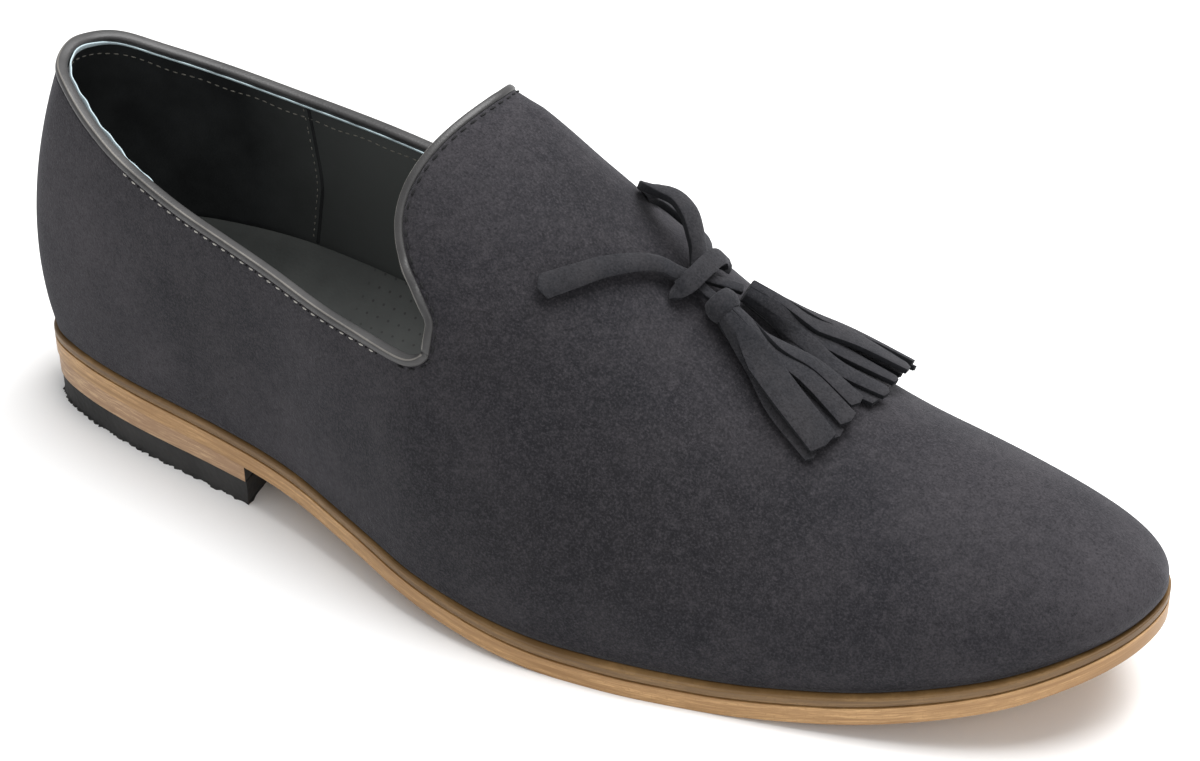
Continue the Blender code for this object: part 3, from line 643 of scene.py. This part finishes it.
def merged_copy(node):
    """A bmesh of a CAD node, its doubles merged and its triangles joined to four-sided faces."""
    bm = bmesh.new()
    bm.from_mesh(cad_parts[node].data)
    bmesh.ops.remove_doubles(bm, verts=bm.verts, dist=MERGE)
    bmesh.ops.join_triangles(bm, faces=bm.faces, angle_face_threshold=0.7, angle_shape_threshold=0.9)
    return bm


def face_groups(bm):
    """Groups of faces that meet at less than the sharp angle, the largest first."""
    seen = set()
    groups = []
    for first in bm.faces:
        if first in seen:
            continue
        seen.add(first)
        group = [first]
        for face in group:
            for edge in face.edges:
                for other in edge.link_faces:
                    if other not in seen and edge.calc_face_angle(0.0) < SHARP:
                        seen.add(other)
                        group.append(other)
        groups.append(group)
    groups.sort(key=lambda group: -sum(face.calc_area() for face in group))
    return groups


def crease_sharp(bm):
    """Marks the sharp edges so that subdivision keeps them."""
    crease = bm.edges.layers.float.new("crease_edge")
    for edge in bm.edges:
        if edge.calc_face_angle(0.0) > SHARP:
            edge[crease] = 1.0


def subdivide(piece, levels):
    fine = piece.modifiers.new("fine", "SUBSURF")
    fine.levels = levels
    fine.render_levels = levels


def smoothed(piece):
    """The mesh that a piece's modifiers make."""
    bpy.context.view_layer.update()
    depsgraph = bpy.context.evaluated_depsgraph_get()
    return bpy.data.meshes.new_from_object(piece.evaluated_get(depsgraph))


def hold_form(piece, rounds=3):
    """Moves a piece's points out until its smoothed surface passes through where they were."""
    wanted = [vertex.co.copy() for vertex in piece.data.vertices]
    for _ in range(rounds):
        fine = smoothed(piece)
        for vertex, want, found in zip(piece.data.vertices, wanted, fine.vertices):
            vertex.co += want - found.co
        bpy.data.meshes.remove(fine)
        piece.data.update()


def apply_modifiers(piece):
    """Turns a piece's modifiers into its mesh."""
    made = smoothed(piece)
    piece.modifiers.clear()
    piece.data = made


upper_suede = suede("upper_suede", UPPER_DEEP, UPPER_WARM, UPPER_LIGHT, sheen=0.12)

grain, given, result = start_group(
    "fine_grain",
    (("Place", "Vector"), ("Dark", "Color"), ("Pale", "Color"), ("Pores", "Float")),
    (("Colour", "Color"), ("Height", "Float")),
)
cloud = ranged(grain, noise(grain, given["Place"], 60.0, 3.0, 0.6), 0.35, 0.68)
pores = add_node(grain, "TexVoronoi", Vector=given["Place"], Scale=given["Pores"]).outputs["Distance"]
clouded = mixed(grain, cloud, given["Dark"], given["Pale"])
pored = mixed(grain, ranged(grain, pores, 0.0, 0.35, 0.35, 0.0), clouded, given["Dark"])
grain.links.new(pored, result["Colour"])
grain.links.new(pores, result["Height"])


def smooth_leather(name, dark, pale, pores, rough, coat, bump):
    """Smooth finished leather: a slow cloud of colour and fine pores under a light dressing."""
    made, tree, shader, spot = start_material(
        name, Roughness=rough, Coat_Weight=coat, Coat_Roughness=0.4, Specular_IOR_Level=0.4
    )
    out = place_group(tree, grain, Place=spot, Dark=dark, Pale=pale, Pores=pores)
    tree.links.new(out["Colour"], shader.inputs["Base Color"])
    bumped(tree, shader, out["Height"], bump, 0.0002)
    return made


def along_shoe(tree, here, start, end):
    """The output that runs from nought to one between two places along the shoe."""
    return ranged(tree, add_node(tree, "SeparateXYZ", Vector=here).outputs["X"], start, end)


def recolour(finish, share_rule, colour):
    """Mixes a colour into a finish, by a share that a rule makes from the place on the object."""
    tree = finish.node_tree
    shader = tree.nodes["Principled BSDF"]
    share = share_rule(tree, tree.nodes["Texture Coordinate"].outputs["Object"])
    own = shader.inputs["Base Color"].links[0].from_socket
    tree.links.new(mixed(tree, share, own, colour), shader.inputs["Base Color"])


lining_leather = smooth_leather(
    "lining_leather", LINING, LINING_LIGHT, pores=1400.0, rough=0.50, coat=0.10, bump=0.10
)
cut_leather = smooth_leather(
    "cut_leather", LINING, LINING_LIGHT, pores=2000.0, rough=0.80, coat=0.0, bump=0.30
)
# Painted light: along the shoe, over the throat's span, the lining turns much lighter where light falls in
# through the opening
recolour(lining_leather, lambda tree, here: along_shoe(tree, here, *THROAT), LINING_PAINTED_LIGHT)

bm = merged_copy("upper")
groups = face_groups(bm)
for index, group in enumerate(groups):
    for face in group:
        face.material_index = min(index, CUT)
crease_sharp(bm)
suede_upper = add_piece("suede_upper", bm, (upper_suede, lining_leather, cut_leather))
subdivide(suede_upper, 2)
hold_form(suede_upper)
apply_modifiers(suede_upper)
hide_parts("upper")

bm = bmesh.new()
bm.from_mesh(suede_upper.data)
bm.normal_update()


def top_loop(bm, index):
    """The edge loop where a finish ends at the collar, from the back of the heel round by the outer side."""
    rim = [
        edge for edge in bm.edges
        if {face.material_index for face in edge.link_faces} == {index, CUT}
    ]
    joined = {}
    for edge in rim:
        for vertex in edge.verts:
            joined.setdefault(vertex, []).append(edge)
    loops = []
    left = set(joined)
    for first in sorted(left, key=lambda vertex: vertex.index):
        if first not in left:
            continue
        loop = [first]
        left.discard(first)
        for vertex in loop:
            for edge in joined[vertex]:
                other = edge.other_vert(vertex)
                if other in left:
                    left.discard(other)
                    loop.append(other)
                    break
        loops.append(loop)
    loop = max(loops, key=lambda found: sum(vertex.co.z for vertex in found) / len(found))
    start = min(range(len(loop)), key=lambda i: loop[i].co.x)
    loop = loop[start:] + loop[:start]
    if loop[FROM_BACK].co.y > loop[-FROM_BACK].co.y:
        loop = loop[:1] + loop[:0:-1]
    return loop


def framed(loop, index):
    """Points of a loop, the direction square to the wall at each and the one up out of the collar."""
    spots = [vertex.co.copy() for vertex in loop]
    frames = []
    for i, vertex in enumerate(loop):
        wall = Vector()
        for face in vertex.link_faces:
            if face.material_index == index:
                wall += face.normal
        wall.normalize()
        run = (spots[(i + 1) % len(spots)] - spots[i - 1]).normalized()
        frames.append((spots[i], wall, run.cross(wall).normalized()))
    if frames[0][2].z < 0:
        frames = [(spot, wall, -up) for spot, wall, up in frames]
    return frames


def rounded_moves(frames):
    """How far each point of a rim moves to round the tongue's peak."""
    spots = np.array([tuple(spot) for spot, _, _ in frames])
    peak = spots[:, 2].argmax()
    apart = np.abs(np.arange(len(spots)) - peak)
    steps = np.minimum(apart, len(spots) - apart)
    weights = PEAK_SOFTENING * np.clip(1.0 - steps / PEAK_REACH, 0.0, 1.0)[:, None]
    soft = spots.copy()
    for _ in range(PEAK_ROUNDS):
        soft += weights * ((np.roll(soft, 1, 0) + np.roll(soft, -1, 0)) / 2 - soft)
    return [Vector(move) for move in soft - spots]


drawn = []
for index in (SUEDE, INSIDE):
    frames = framed(top_loop(bm, index), index)
    drawn += [(spot, up * RIM_LIFT + move) for (spot, _, up), move in zip(frames, rounded_moves(frames))]
rim_tree = nearest_of([spot for spot, _ in drawn])
lifts = []
for vertex in bm.verts:
    _, index, away = rim_tree.find(vertex.co)
    share = max(1.0 - away / LIFT_REACH, 0.0)
    lifts.append(drawn[index][1] * (share * share * (3 - 2 * share)))
for vertex, lift in zip(bm.verts, lifts):
    vertex.co += lift
bm.normal_update()
# Painted light and shade: each point of the suede sums the spots near it into an attribute that lightens or
# darkens its colour
painted_light_shade = bm.verts.layers.float.new("painted_light_shade")
skin = {vertex for face in bm.faces if face.material_index == SUEDE for vertex in face.verts}
moves = {}
for vertex in skin:
    here = vertex.co - heel_middle
    for row in PAINTED_LIGHT_SPOTS:
        away = (here - Vector(row[:SPOT_REACH])).length / row[SPOT_REACH]
        vertex[painted_light_shade] += row[PAINTED_AMOUNT] * math.exp(-away * away)
    for start, end, half, depth in CREASES:
        nearest, share = intersect_point_line(here, Vector(start), Vector(end))
        nearest = Vector(start).lerp(Vector(end), min(max(share, 0.0), 1.0))
        away = (here - nearest).length / half
        if away < CREASE_FADES:
            push = vertex.normal * (depth * math.exp(-away * away))
            moves[vertex] = moves.get(vertex, Vector()) - push
for vertex, move in moves.items():
    vertex.co += move
bm.normal_update()
outer_rim = framed(top_loop(bm, SUEDE), SUEDE)
inner_rim = framed(top_loop(bm, INSIDE), INSIDE)
bm.to_mesh(suede_upper.data)
bm.free()


def even(frames, count):
    """The frames of a closed loop at even steps of its length."""
    spots = [spot for spot, _, _ in frames] + [frames[0][0]]
    travel = travelled(spots)
    stops = np.linspace(0.0, travel[-1], count + 1)[:-1]
    columns = [
        [np.interp(stops, travel, [vector[axis] for vector in series]) for axis in range(3)]
        for series in ([row[part] for row in frames] + [frames[0][part]] for part in range(3))
    ]
    rows = zip(*(zip(*column) for column in columns))
    return [(Vector(spot), Vector(wall).normalized(), Vector(up).normalized()) for spot, wall, up in rows]


# Binding
# A thin strip of smooth grey leather folded over the raw top edge all the way round. The corner of the
# fold on its outer side carries a painted highlight, a pale line where light catches it.
BINDING_PROUD = 0.0005
WALL = 0.0018
BINDING_FLAT = 0.00176
BINDING_DARK = (0.021, 0.0205, 0.0210, 1.0)
BINDING_PALE = (0.044, 0.0425, 0.0425, 1.0)
# Painted highlight on the outer corner of the fold: its dark and pale, and how far out and up from the rim
# it starts
FOLD_HIGHLIGHT_DARK = (0.085, 0.080, 0.074, 1.0)
FOLD_HIGHLIGHT_PALE = (0.170, 0.160, 0.145, 1.0)
HIGHLIGHT_FROM = (0.0, 0.00145)
RIM_STEPS = 420
binding_leather = smooth_leather(
    "binding_leather", BINDING_DARK, BINDING_PALE, pores=1900.0, rough=0.46, coat=0.15, bump=0.22
)
painted_fold_highlight = smooth_leather("painted_fold_highlight", FOLD_HIGHLIGHT_DARK, FOLD_HIGHLIGHT_PALE, pores=1900.0, rough=0.5, coat=0.1, bump=0.3)
rim = even(outer_rim, RIM_STEPS)

# Section of the binding: out from the wall and up from the rim
PROFILE = (
    (0.0000, -0.0003),
    (BINDING_PROUD - 0.0001, -0.0002),
    (BINDING_PROUD + 0.00012, 0.0004),
    (BINDING_PROUD + 0.00008, 0.0011),
    (BINDING_PROUD - 0.00006, 0.00150),
    (BINDING_PROUD - 0.00036, 0.00172),
    (-WALL * 0.3, BINDING_FLAT),
    (-WALL * 0.7, BINDING_FLAT),
    (-WALL - BINDING_PROUD * 0.3, 0.0016),
    (-WALL - BINDING_PROUD, 0.0012),
    (-WALL - BINDING_PROUD - 0.0001, 0.0005),
    (-WALL - BINDING_PROUD, -0.0001),
    (-WALL, -0.0003),
)


def bound(share, across):
    """A point of the binding from its shares round the collar and round its own section."""
    spot, wall, up = rim[round(share * RIM_STEPS) % RIM_STEPS]
    places = np.linspace(0.0, 1.0, len(PROFILE) + 1)
    out = np.interp(across, places, [row[0] for row in PROFILE] + [PROFILE[0][0]])
    high = np.interp(across, places, [row[1] for row in PROFILE] + [PROFILE[0][1]])
    return spot + wall * out + up * high


bm = bmesh.new()
laid(bm, RIM_STEPS, len(PROFILE), bound)
bmesh.ops.remove_doubles(bm, verts=bm.verts, dist=MERGE)
bmesh.ops.recalc_face_normals(bm, faces=bm.faces)
rim_tree = nearest_of([spot for spot, _, _ in rim])
# Painted highlight: faces on the outer corner of the fold take the pale highlight finish
for face in bm.faces:
    middle = face.calc_center_median()
    spot, wall, up = rim[rim_tree.find(middle)[1]]
    if (middle - spot).dot(wall) > HIGHLIGHT_FROM[0] and (middle - spot).dot(up) > HIGHLIGHT_FROM[1]:
        face.material_index = 1
topline_binding = add_piece("topline_binding", bm, (binding_leather, painted_fold_highlight))
subdivide(topline_binding, 1)
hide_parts("collar_binding")

# Stitches and tape of the collar
# Light thread with dark holes between its stitches runs below the binding of both quarters, dark thread
# round the tongue, and fine pale thread on the lining. A pale woven tape shows as a thin line between the
# binding and the lining. Spans are shares of the way round the collar from the back of the heel.
THREAD = 0.00042
STITCH_PITCH = 0.0030
LINING_PITCH = 0.0021
STITCH_LENGTH = 0.0014
TONGUE_STITCH = 0.0020
HOLE = 0.00055
BELOW_BINDING = 0.0009
BESIDE_TONGUE = 0.0010
LINING_STITCHES = 0.0042
TAPE_LOW = 0.0004
TAPE_HIGH = 0.0001
TAPE_PROUD = 0.0007
TAPE_RISE = 0.0014
TAPE_SPREAD = 0.0003
NEAR_QUARTER = (0.105, 0.315)
TONGUE = (0.325, 0.675)
FAR_QUARTER = (0.685, 0.935)
COLLAR = (0.70, 1.30)
TAPED = (0.70, 1.15)
RIM_SPOTS = 1600
TAPE_EVERY = 4
TAPE_THICK = 0.00035
TAPE_CORNER = 0.0001
TAPE_WAVES = ((0.00012, 90.0), (0.00008, 211.0))
RISE_FROM = 0.60
RISE_OVER = 0.10
FALL_OVER = 0.15
WOBBLE = 0.00022
WOBBLE_WAVES = ((1.0, 0.11, 0.0), (0.6, 0.047, 1.0))
SET_OUT = 0.2
FINE_THREAD = 0.8
PALE_THREAD = (0.50, 0.48, 0.44, 1.0)
DARK_THREAD = (0.004, 0.004, 0.005, 1.0)
LINING_THREAD = (0.20, 0.19, 0.16, 1.0)
TAPE = (0.46, 0.57, 0.61, 1.0)


def thread(name, colour, rough, sheen=0.2):
    """Twisted thread: one colour, broken by fine darker twist marks."""
    made, tree, shader, spot = start_material(name, Roughness=rough, Sheen_Weight=sheen)
    shade = ranged(tree, noise(tree, spot, 3200.0, 2.0, 0.6), 0.3, 0.7, 0.55, 1.0)
    dark = tuple(part * 0.4 for part in colour[:3]) + (1.0,)
    tree.links.new(mixed(tree, shade, dark, colour), shader.inputs["Base Color"])
    return made


pale_thread = thread("pale_thread", PALE_THREAD, rough=0.6)
dark_thread = thread("dark_thread", DARK_THREAD, rough=0.9, sheen=0.0)
lining_thread = thread("lining_thread", LINING_THREAD, rough=0.7)
collar_tape = thread("collar_tape", TAPE, rough=0.7)
fine_mesh = suede_upper.data
fine_tree = BVHTree.FromPolygons(
    [vertex.co for vertex in fine_mesh.vertices],
    [tuple(polygon.vertices) for polygon in fine_mesh.polygons],
)


def stitches(name, spots, finish, thick, long, start=0.5, pitch=STITCH_PITCH):
    """Stitches at even steps along spots on a wall, each spot with the direction square to the wall."""
    travel = travelled([spot for spot, _ in spots])
    bm = bmesh.new()
    for place_at in np.arange(pitch * start, travel[-1], pitch):
        i = min(int(np.searchsorted(travel, place_at)), len(spots) - 1)
        here, square = spots[i]
        run = (spots[min(i + 1, len(spots) - 1)][0] - spots[max(i - 1, 0)][0]).normalized()
        side = square.cross(run).normalized()
        made = bmesh.ops.create_uvsphere(bm, u_segments=6, v_segments=5, radius=0.5)["verts"]
        basis = Matrix((run * long, side * thick, square * thick)).transposed().to_4x4()
        set_out = Matrix.Translation(here + square * thick * SET_OUT)
        bmesh.ops.transform(bm, matrix=set_out @ basis, verts=made)
    return add_piece(name, bm, (finish,))


def stitch_row(name, frames, span, below, finish, thick=THREAD, long=STITCH_LENGTH, start=0.5,
               wobble=0.0, pitch=STITCH_PITCH):
    """A row of stitches, or of the holes between them, set into the wall at a distance below the rim."""
    spots = []
    steps = len(frames)
    for i in range(round(span[0] * steps), round(span[1] * steps)):
        spot, wall, up = frames[i % steps]
        sway = wobble * sum(part * math.sin(i * pace + start_at) for part, pace, start_at in WOBBLE_WAVES)
        found, square, _, _ = fine_tree.find_nearest(spot - up * (below + sway))
        spots.append((found, square if square.dot(wall) > 0 else wall))
    return stitches(name, spots, finish, thick, long, start, pitch)


outer_even = even(outer_rim, RIM_SPOTS)
inner_even = even(inner_rim, RIM_SPOTS)
stitch_row("near_quarter_stitches", outer_even, NEAR_QUARTER, BELOW_BINDING, pale_thread)
stitch_row("far_quarter_stitches", outer_even, FAR_QUARTER, BELOW_BINDING, pale_thread)
stitch_row("tongue_stitches", outer_even, TONGUE, BESIDE_TONGUE, dark_thread,
           HOLE, TONGUE_STITCH)
stitch_row("near_quarter_holes", outer_even, NEAR_QUARTER, BELOW_BINDING, dark_thread,
           HOLE, HOLE, start=1.0)
stitch_row("far_quarter_holes", outer_even, FAR_QUARTER, BELOW_BINDING, dark_thread,
           HOLE, HOLE, start=1.0)
stitch_row("lining_stitches", inner_even, COLLAR, LINING_STITCHES, lining_thread,
           THREAD * FINE_THREAD, wobble=WOBBLE, pitch=LINING_PITCH)

tape_span = range(round(TAPED[0] * RIM_SPOTS), round(TAPED[1] * RIM_SPOTS), TAPE_EVERY)
tape_frames = [inner_even[i % RIM_SPOTS] for i in tape_span]


def taped(share, across):
    """A point of the tape from its shares along it and across it."""
    spot, wall, up = tape_frames[round(share * (len(tape_frames) - 1))]
    wave = sum(height * math.sin(share * pace) for height, pace in TAPE_WAVES)
    near = min(max((share - RISE_FROM) / RISE_OVER, 0.0), 1.0) * min((1.0 - share) / FALL_OVER, 1.0)
    high = TAPE_HIGH + near * TAPE_RISE
    proud = TAPE_PROUD + near * TAPE_SPREAD
    return spot + wall * (proud + wave) + up * (high - across * (high + TAPE_LOW) + wave)


bm = bmesh.new()
laid(bm, len(tape_frames) - 1, 2, taped)
tape_piece = add_piece("collar_tape_line", bm, (collar_tape, collar_tape))
thicken(tape_piece, TAPE_THICK, TAPE_CORNER)

# Seam of the lining
# The lining of each quarter is two pieces. They meet in a raised seam half way along, with fine stitches
# behind it.
SEAM = ((0.0598, 0.0810), (0.0604, 0.0672), (0.0608, 0.0550), (0.0596, 0.0471), (0.0578, 0.0369))
SEAM_WIDTH = 0.0009
BEHIND_SEAM = 0.0014
SEAM_STEPS = 12
SEAM_THREAD = 0.0003
SEAM_STITCH = 0.0010


def on_lining(side, aside):
    """Spots of the seam's line on the lining of one side, moved along the shoe by a distance."""
    spots = []
    for spot in through([Vector((x + aside, 0.0, z)) for x, z in SEAM], SEAM_STEPS):
        found, square, _, _ = fine_tree.ray_cast(spot + heel_middle, Vector((0.0, side, 0.0)))
        if found:
            spots.append((found, square if square.y * side < 0 else -square))
    return spots


for side, title in ((1, "inner"), (-1, "outer")):
    spots = on_lining(side, 0.0)
    bm = bmesh.new()
    ribbon(bm, [spot for spot, _ in spots], [square for _, square in spots], (SEAM_WIDTH, SEAM_WIDTH))
    seam = add_piece(title + "_lining_seam", bm, (cut_leather, cut_leather))
    thicken(seam, SEAM_WIDTH / 2)
    behind = on_lining(side, -BEHIND_SEAM)
    stitches(title + "_seam_stitches", behind, lining_thread, SEAM_THREAD, SEAM_STITCH,
             pitch=LINING_PITCH)

# Insole
# A thin footbed covered in smooth grey-green sock leather, lightly pricked towards the vamp.
SOCK_DARK = (0.026, 0.029, 0.027, 1.0)
SOCK_PALE = (0.042, 0.046, 0.043, 1.0)
PRICKED_FROM = heel_back + 0.074
PRICKED_OVER = 0.002
PRICKS = 330.0
PRICK = (0.08, 0.13)
PRICK_SHARE = 0.80
PRICK_DARK = (0.004, 0.004, 0.004, 1.0)
sock_leather = smooth_leather(
    "sock_leather", SOCK_DARK, SOCK_PALE, pores=1100.0, rough=0.62, coat=0.05, bump=0.12
)


def pricked(tree, here):
    """The output that is high in small round holes, in rows over the front part of the sock."""
    flat = add_node(tree, "Mapping", Vector=here, Scale=(PRICKS, PRICKS, 0.0)).outputs["Vector"]
    cell = add_node(tree, "TexVoronoi", Vector=flat, Scale=1.0, Randomness=0.0).outputs["Distance"]
    hole = add_node(tree, "Math")
    hole.operation = "MULTIPLY"
    tree.links.new(ranged(tree, cell, *PRICK, PRICK_SHARE, 0.0), hole.inputs[0])
    tree.links.new(along_shoe(tree, here, PRICKED_FROM, PRICKED_FROM + PRICKED_OVER), hole.inputs[1])
    return hole.outputs[0]


recolour(sock_leather, pricked, PRICK_DARK)


def fine_copy(name, node, finishes, levels, corner):
    """A fine copy of a CAD node, its faces subdivided and its sharp edges softened."""
    bm = merged_copy(node)
    crease_sharp(bm)
    piece = add_piece(name, bm, finishes)
    subdivide(piece, levels)
    hold_form(piece)
    soften(piece, "soft edges", corner)
    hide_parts(node)
    return piece


fine_copy("footbed", "insole", (sock_leather,), levels=2, corner=0.0006)

# Welt and outsole
# A darker brown rand lies on the one-piece sole. Both have a printed wood-look edge with fine grain that
# runs along it, sealed and lightly polished.
WELT_DARK = (0.105, 0.056, 0.018, 1.0)
WELT_PALE = (0.215, 0.125, 0.048, 1.0)
SOLE_DARK = (0.280, 0.150, 0.056, 1.0)
SOLE_PALE = (0.545, 0.330, 0.145, 1.0)
STREAKS = (260.0, 260.0, 4200.0)
BANDS = (36.0, 36.0, 900.0)
SPECKS = 1500.0

woodlook, given, result = start_group(
    "wood_look",
    (("Place", "Vector"), ("Dark", "Color"), ("Pale", "Color"), ("Fleck", "Float")),
    (("Colour", "Color"), ("Height", "Float")),
)
stretched = add_node(woodlook, "Mapping", Vector=given["Place"], Scale=STREAKS).outputs["Vector"]
streaks = noise(woodlook, stretched, 1.0, 4.0, 0.6)
wide = add_node(woodlook, "Mapping", Vector=given["Place"], Scale=BANDS).outputs["Vector"]
bands = ranged(woodlook, noise(woodlook, wide, 1.0, 2.0, 0.5), 0.35, 0.65)
base = mixed(woodlook, bands, given["Dark"], given["Pale"])
lined = mixed(woodlook, ranged(woodlook, streaks, 0.42, 0.60, 0.0, 0.9), given["Dark"], base)
grained = mixed(woodlook, given["Fleck"], base, lined)
specks = ranged(woodlook, noise(woodlook, given["Place"], SPECKS, 2.0, 0.6), 0.56, 0.70, 0.0, 0.5)
woodlook.links.new(mixed(woodlook, specks, grained, given["Dark"]), result["Colour"])
woodlook.links.new(streaks, result["Height"])


def wood_edge(name, dark, pale, fleck, rough, coat):
    """A printed wood-look finish whose grain follows the layer it is on."""
    made, tree, shader, _ = start_material(
        name, Roughness=rough, Coat_Weight=coat, Coat_Roughness=0.35, Specular_IOR_Level=0.35
    )
    layer = tree.nodes.new("ShaderNodeAttribute")
    layer.attribute_name = "layer"
    out = place_group(tree, woodlook, Place=layer.outputs["Vector"], Dark=dark, Pale=pale, Fleck=fleck)
    tree.links.new(out["Colour"], shader.inputs["Base Color"])
    bumped(tree, shader, out["Height"], 0.15, 0.0002)
    return made


def mark_layer(piece, node):
    """Stores each point's place with its height measured from the node's underside."""
    lowest = {}
    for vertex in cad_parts[node].data.vertices:
        key = round(vertex.co.x, 5)
        lowest[key] = min(lowest.get(key, 1.0), vertex.co.z)
    places = sorted(lowest)
    heights = [lowest[key] for key in places]
    layer = piece.data.attributes.new("layer", "FLOAT_VECTOR", "POINT")
    for vertex, entry in zip(piece.data.vertices, layer.data):
        entry.vector = (vertex.co.x, vertex.co.y, vertex.co.z - np.interp(vertex.co.x, places, heights))


welt_edge = wood_edge("welt_edge", WELT_DARK, WELT_PALE, fleck=0.5, rough=0.50, coat=0.10)
sole_edge = wood_edge("sole_edge", SOLE_DARK, SOLE_PALE, fleck=0.7, rough=0.48, coat=0.12)
rand = fine_copy("rand", "welt", (welt_edge,), levels=2, corner=0.0005)
mark_layer(rand, "welt")
sole = fine_copy("sole", "outsole", (sole_edge,), levels=2, corner=0.0004)
mark_layer(sole, "outsole")

# Heel
# A block with the same printed wood look and thin layer lines, a black front, and a rubber top piece whose
# lower edge was cut rough.
HEEL_DARK = (0.310, 0.182, 0.100, 1.0)
HEEL_PALE = (0.580, 0.395, 0.225, 1.0)
RUBBER = (0.012, 0.012, 0.012, 1.0)
RUBBER_PALE = (0.030, 0.029, 0.028, 1.0)
TOOTH = 0.0008
TOOTH_RANGE = (-0.4, 1.0)
ROUGH_BAND = 0.0006
UNDERSIDE = 0.95
FACING_FRONT = 0.8
heel_edge = wood_edge("heel_edge", HEEL_DARK, HEEL_PALE, fleck=1.0, rough=0.52, coat=0.08)
heel_front = smooth_leather("heel_front", RUBBER, RUBBER_PALE, pores=900.0, rough=0.6, coat=0.1, bump=0.3)
black_rubber = smooth_leather(
    "black_rubber", RUBBER, RUBBER_PALE, pores=700.0, rough=0.75, coat=0.0, bump=0.5
)
block = fine_copy("heel_block", "heel_stack", (heel_edge, heel_front), levels=2, corner=0.0003)
mark_layer(block, "heel_stack")
for polygon in block.data.polygons:
    if polygon.normal.x > FACING_FRONT:
        polygon.material_index = 1
top_piece = fine_copy("top_piece", "heel_top_piece", (black_rubber,), levels=3, corner=0.0003)
apply_modifiers(top_piece)
random.seed(7)
bm = bmesh.new()
bm.from_mesh(top_piece.data)
low = min(vertex.co.z for vertex in bm.verts)
for vertex in bm.verts:
    if vertex.co.z < low + ROUGH_BAND and abs(vertex.normal.z) < UNDERSIDE:
        out = Vector((vertex.normal.x, vertex.normal.y, 0.0))
        vertex.co += out * random.uniform(*TOOTH_RANGE) * TOOTH
bm.to_mesh(top_piece.data)
bm.free()

# Studio
# A pale seamless floor under soft light from above, from in front on the outer side and from an even white
# sky, so no shadow is hard.
FLOOR = (0.86, 0.86, 0.86, 1.0)
SKY = (1.0, 1.0, 1.0, 1.0)
SKY_STRENGTH = 0.62
bm = bmesh.new()
bmesh.ops.create_grid(bm, x_segments=1, y_segments=1, size=6.0)
floor_mesh = bpy.data.meshes.new("floor")
bm.to_mesh(floor_mesh)
bm.free()
floor = bpy.data.objects.new("floor", floor_mesh)
bpy.context.scene.collection.objects.link(floor)
paint, _, shader, _ = start_material("floor_paint", Roughness=0.9)
shader.inputs["Base Color"].default_value = FLOOR
floor_mesh.materials.append(paint)

world = bpy.data.worlds.new("studio")
bpy.context.scene.world = world
world.use_nodes = True
world.node_tree.nodes["Background"].inputs["Color"].default_value = SKY
world.node_tree.nodes["Background"].inputs["Strength"].default_value = SKY_STRENGTH
bpy.context.scene.view_settings.view_transform = "Standard"


def add_light(name, place_at, aim, size, energy):
    """A square soft light aimed at a point of the shoe."""
    data = bpy.data.lights.new(name, "AREA")
    data.size = size
    data.energy = energy
    lamp = bpy.data.objects.new(name, data)
    lamp.location = place_at
    lamp.rotation_euler = (Vector(aim) - Vector(place_at)).to_track_quat("-Z", "Y").to_euler()
    bpy.context.scene.collection.objects.link(lamp)


add_light("top_light", (0.2, 0.25, 1.1), aim=(0.0, 0.0, 0.0), size=0.9, energy=22.0)
add_light("front_light", (0.7, -0.8, 0.7), aim=(0.0, 0.0, 0.03), size=0.7, energy=2.5)
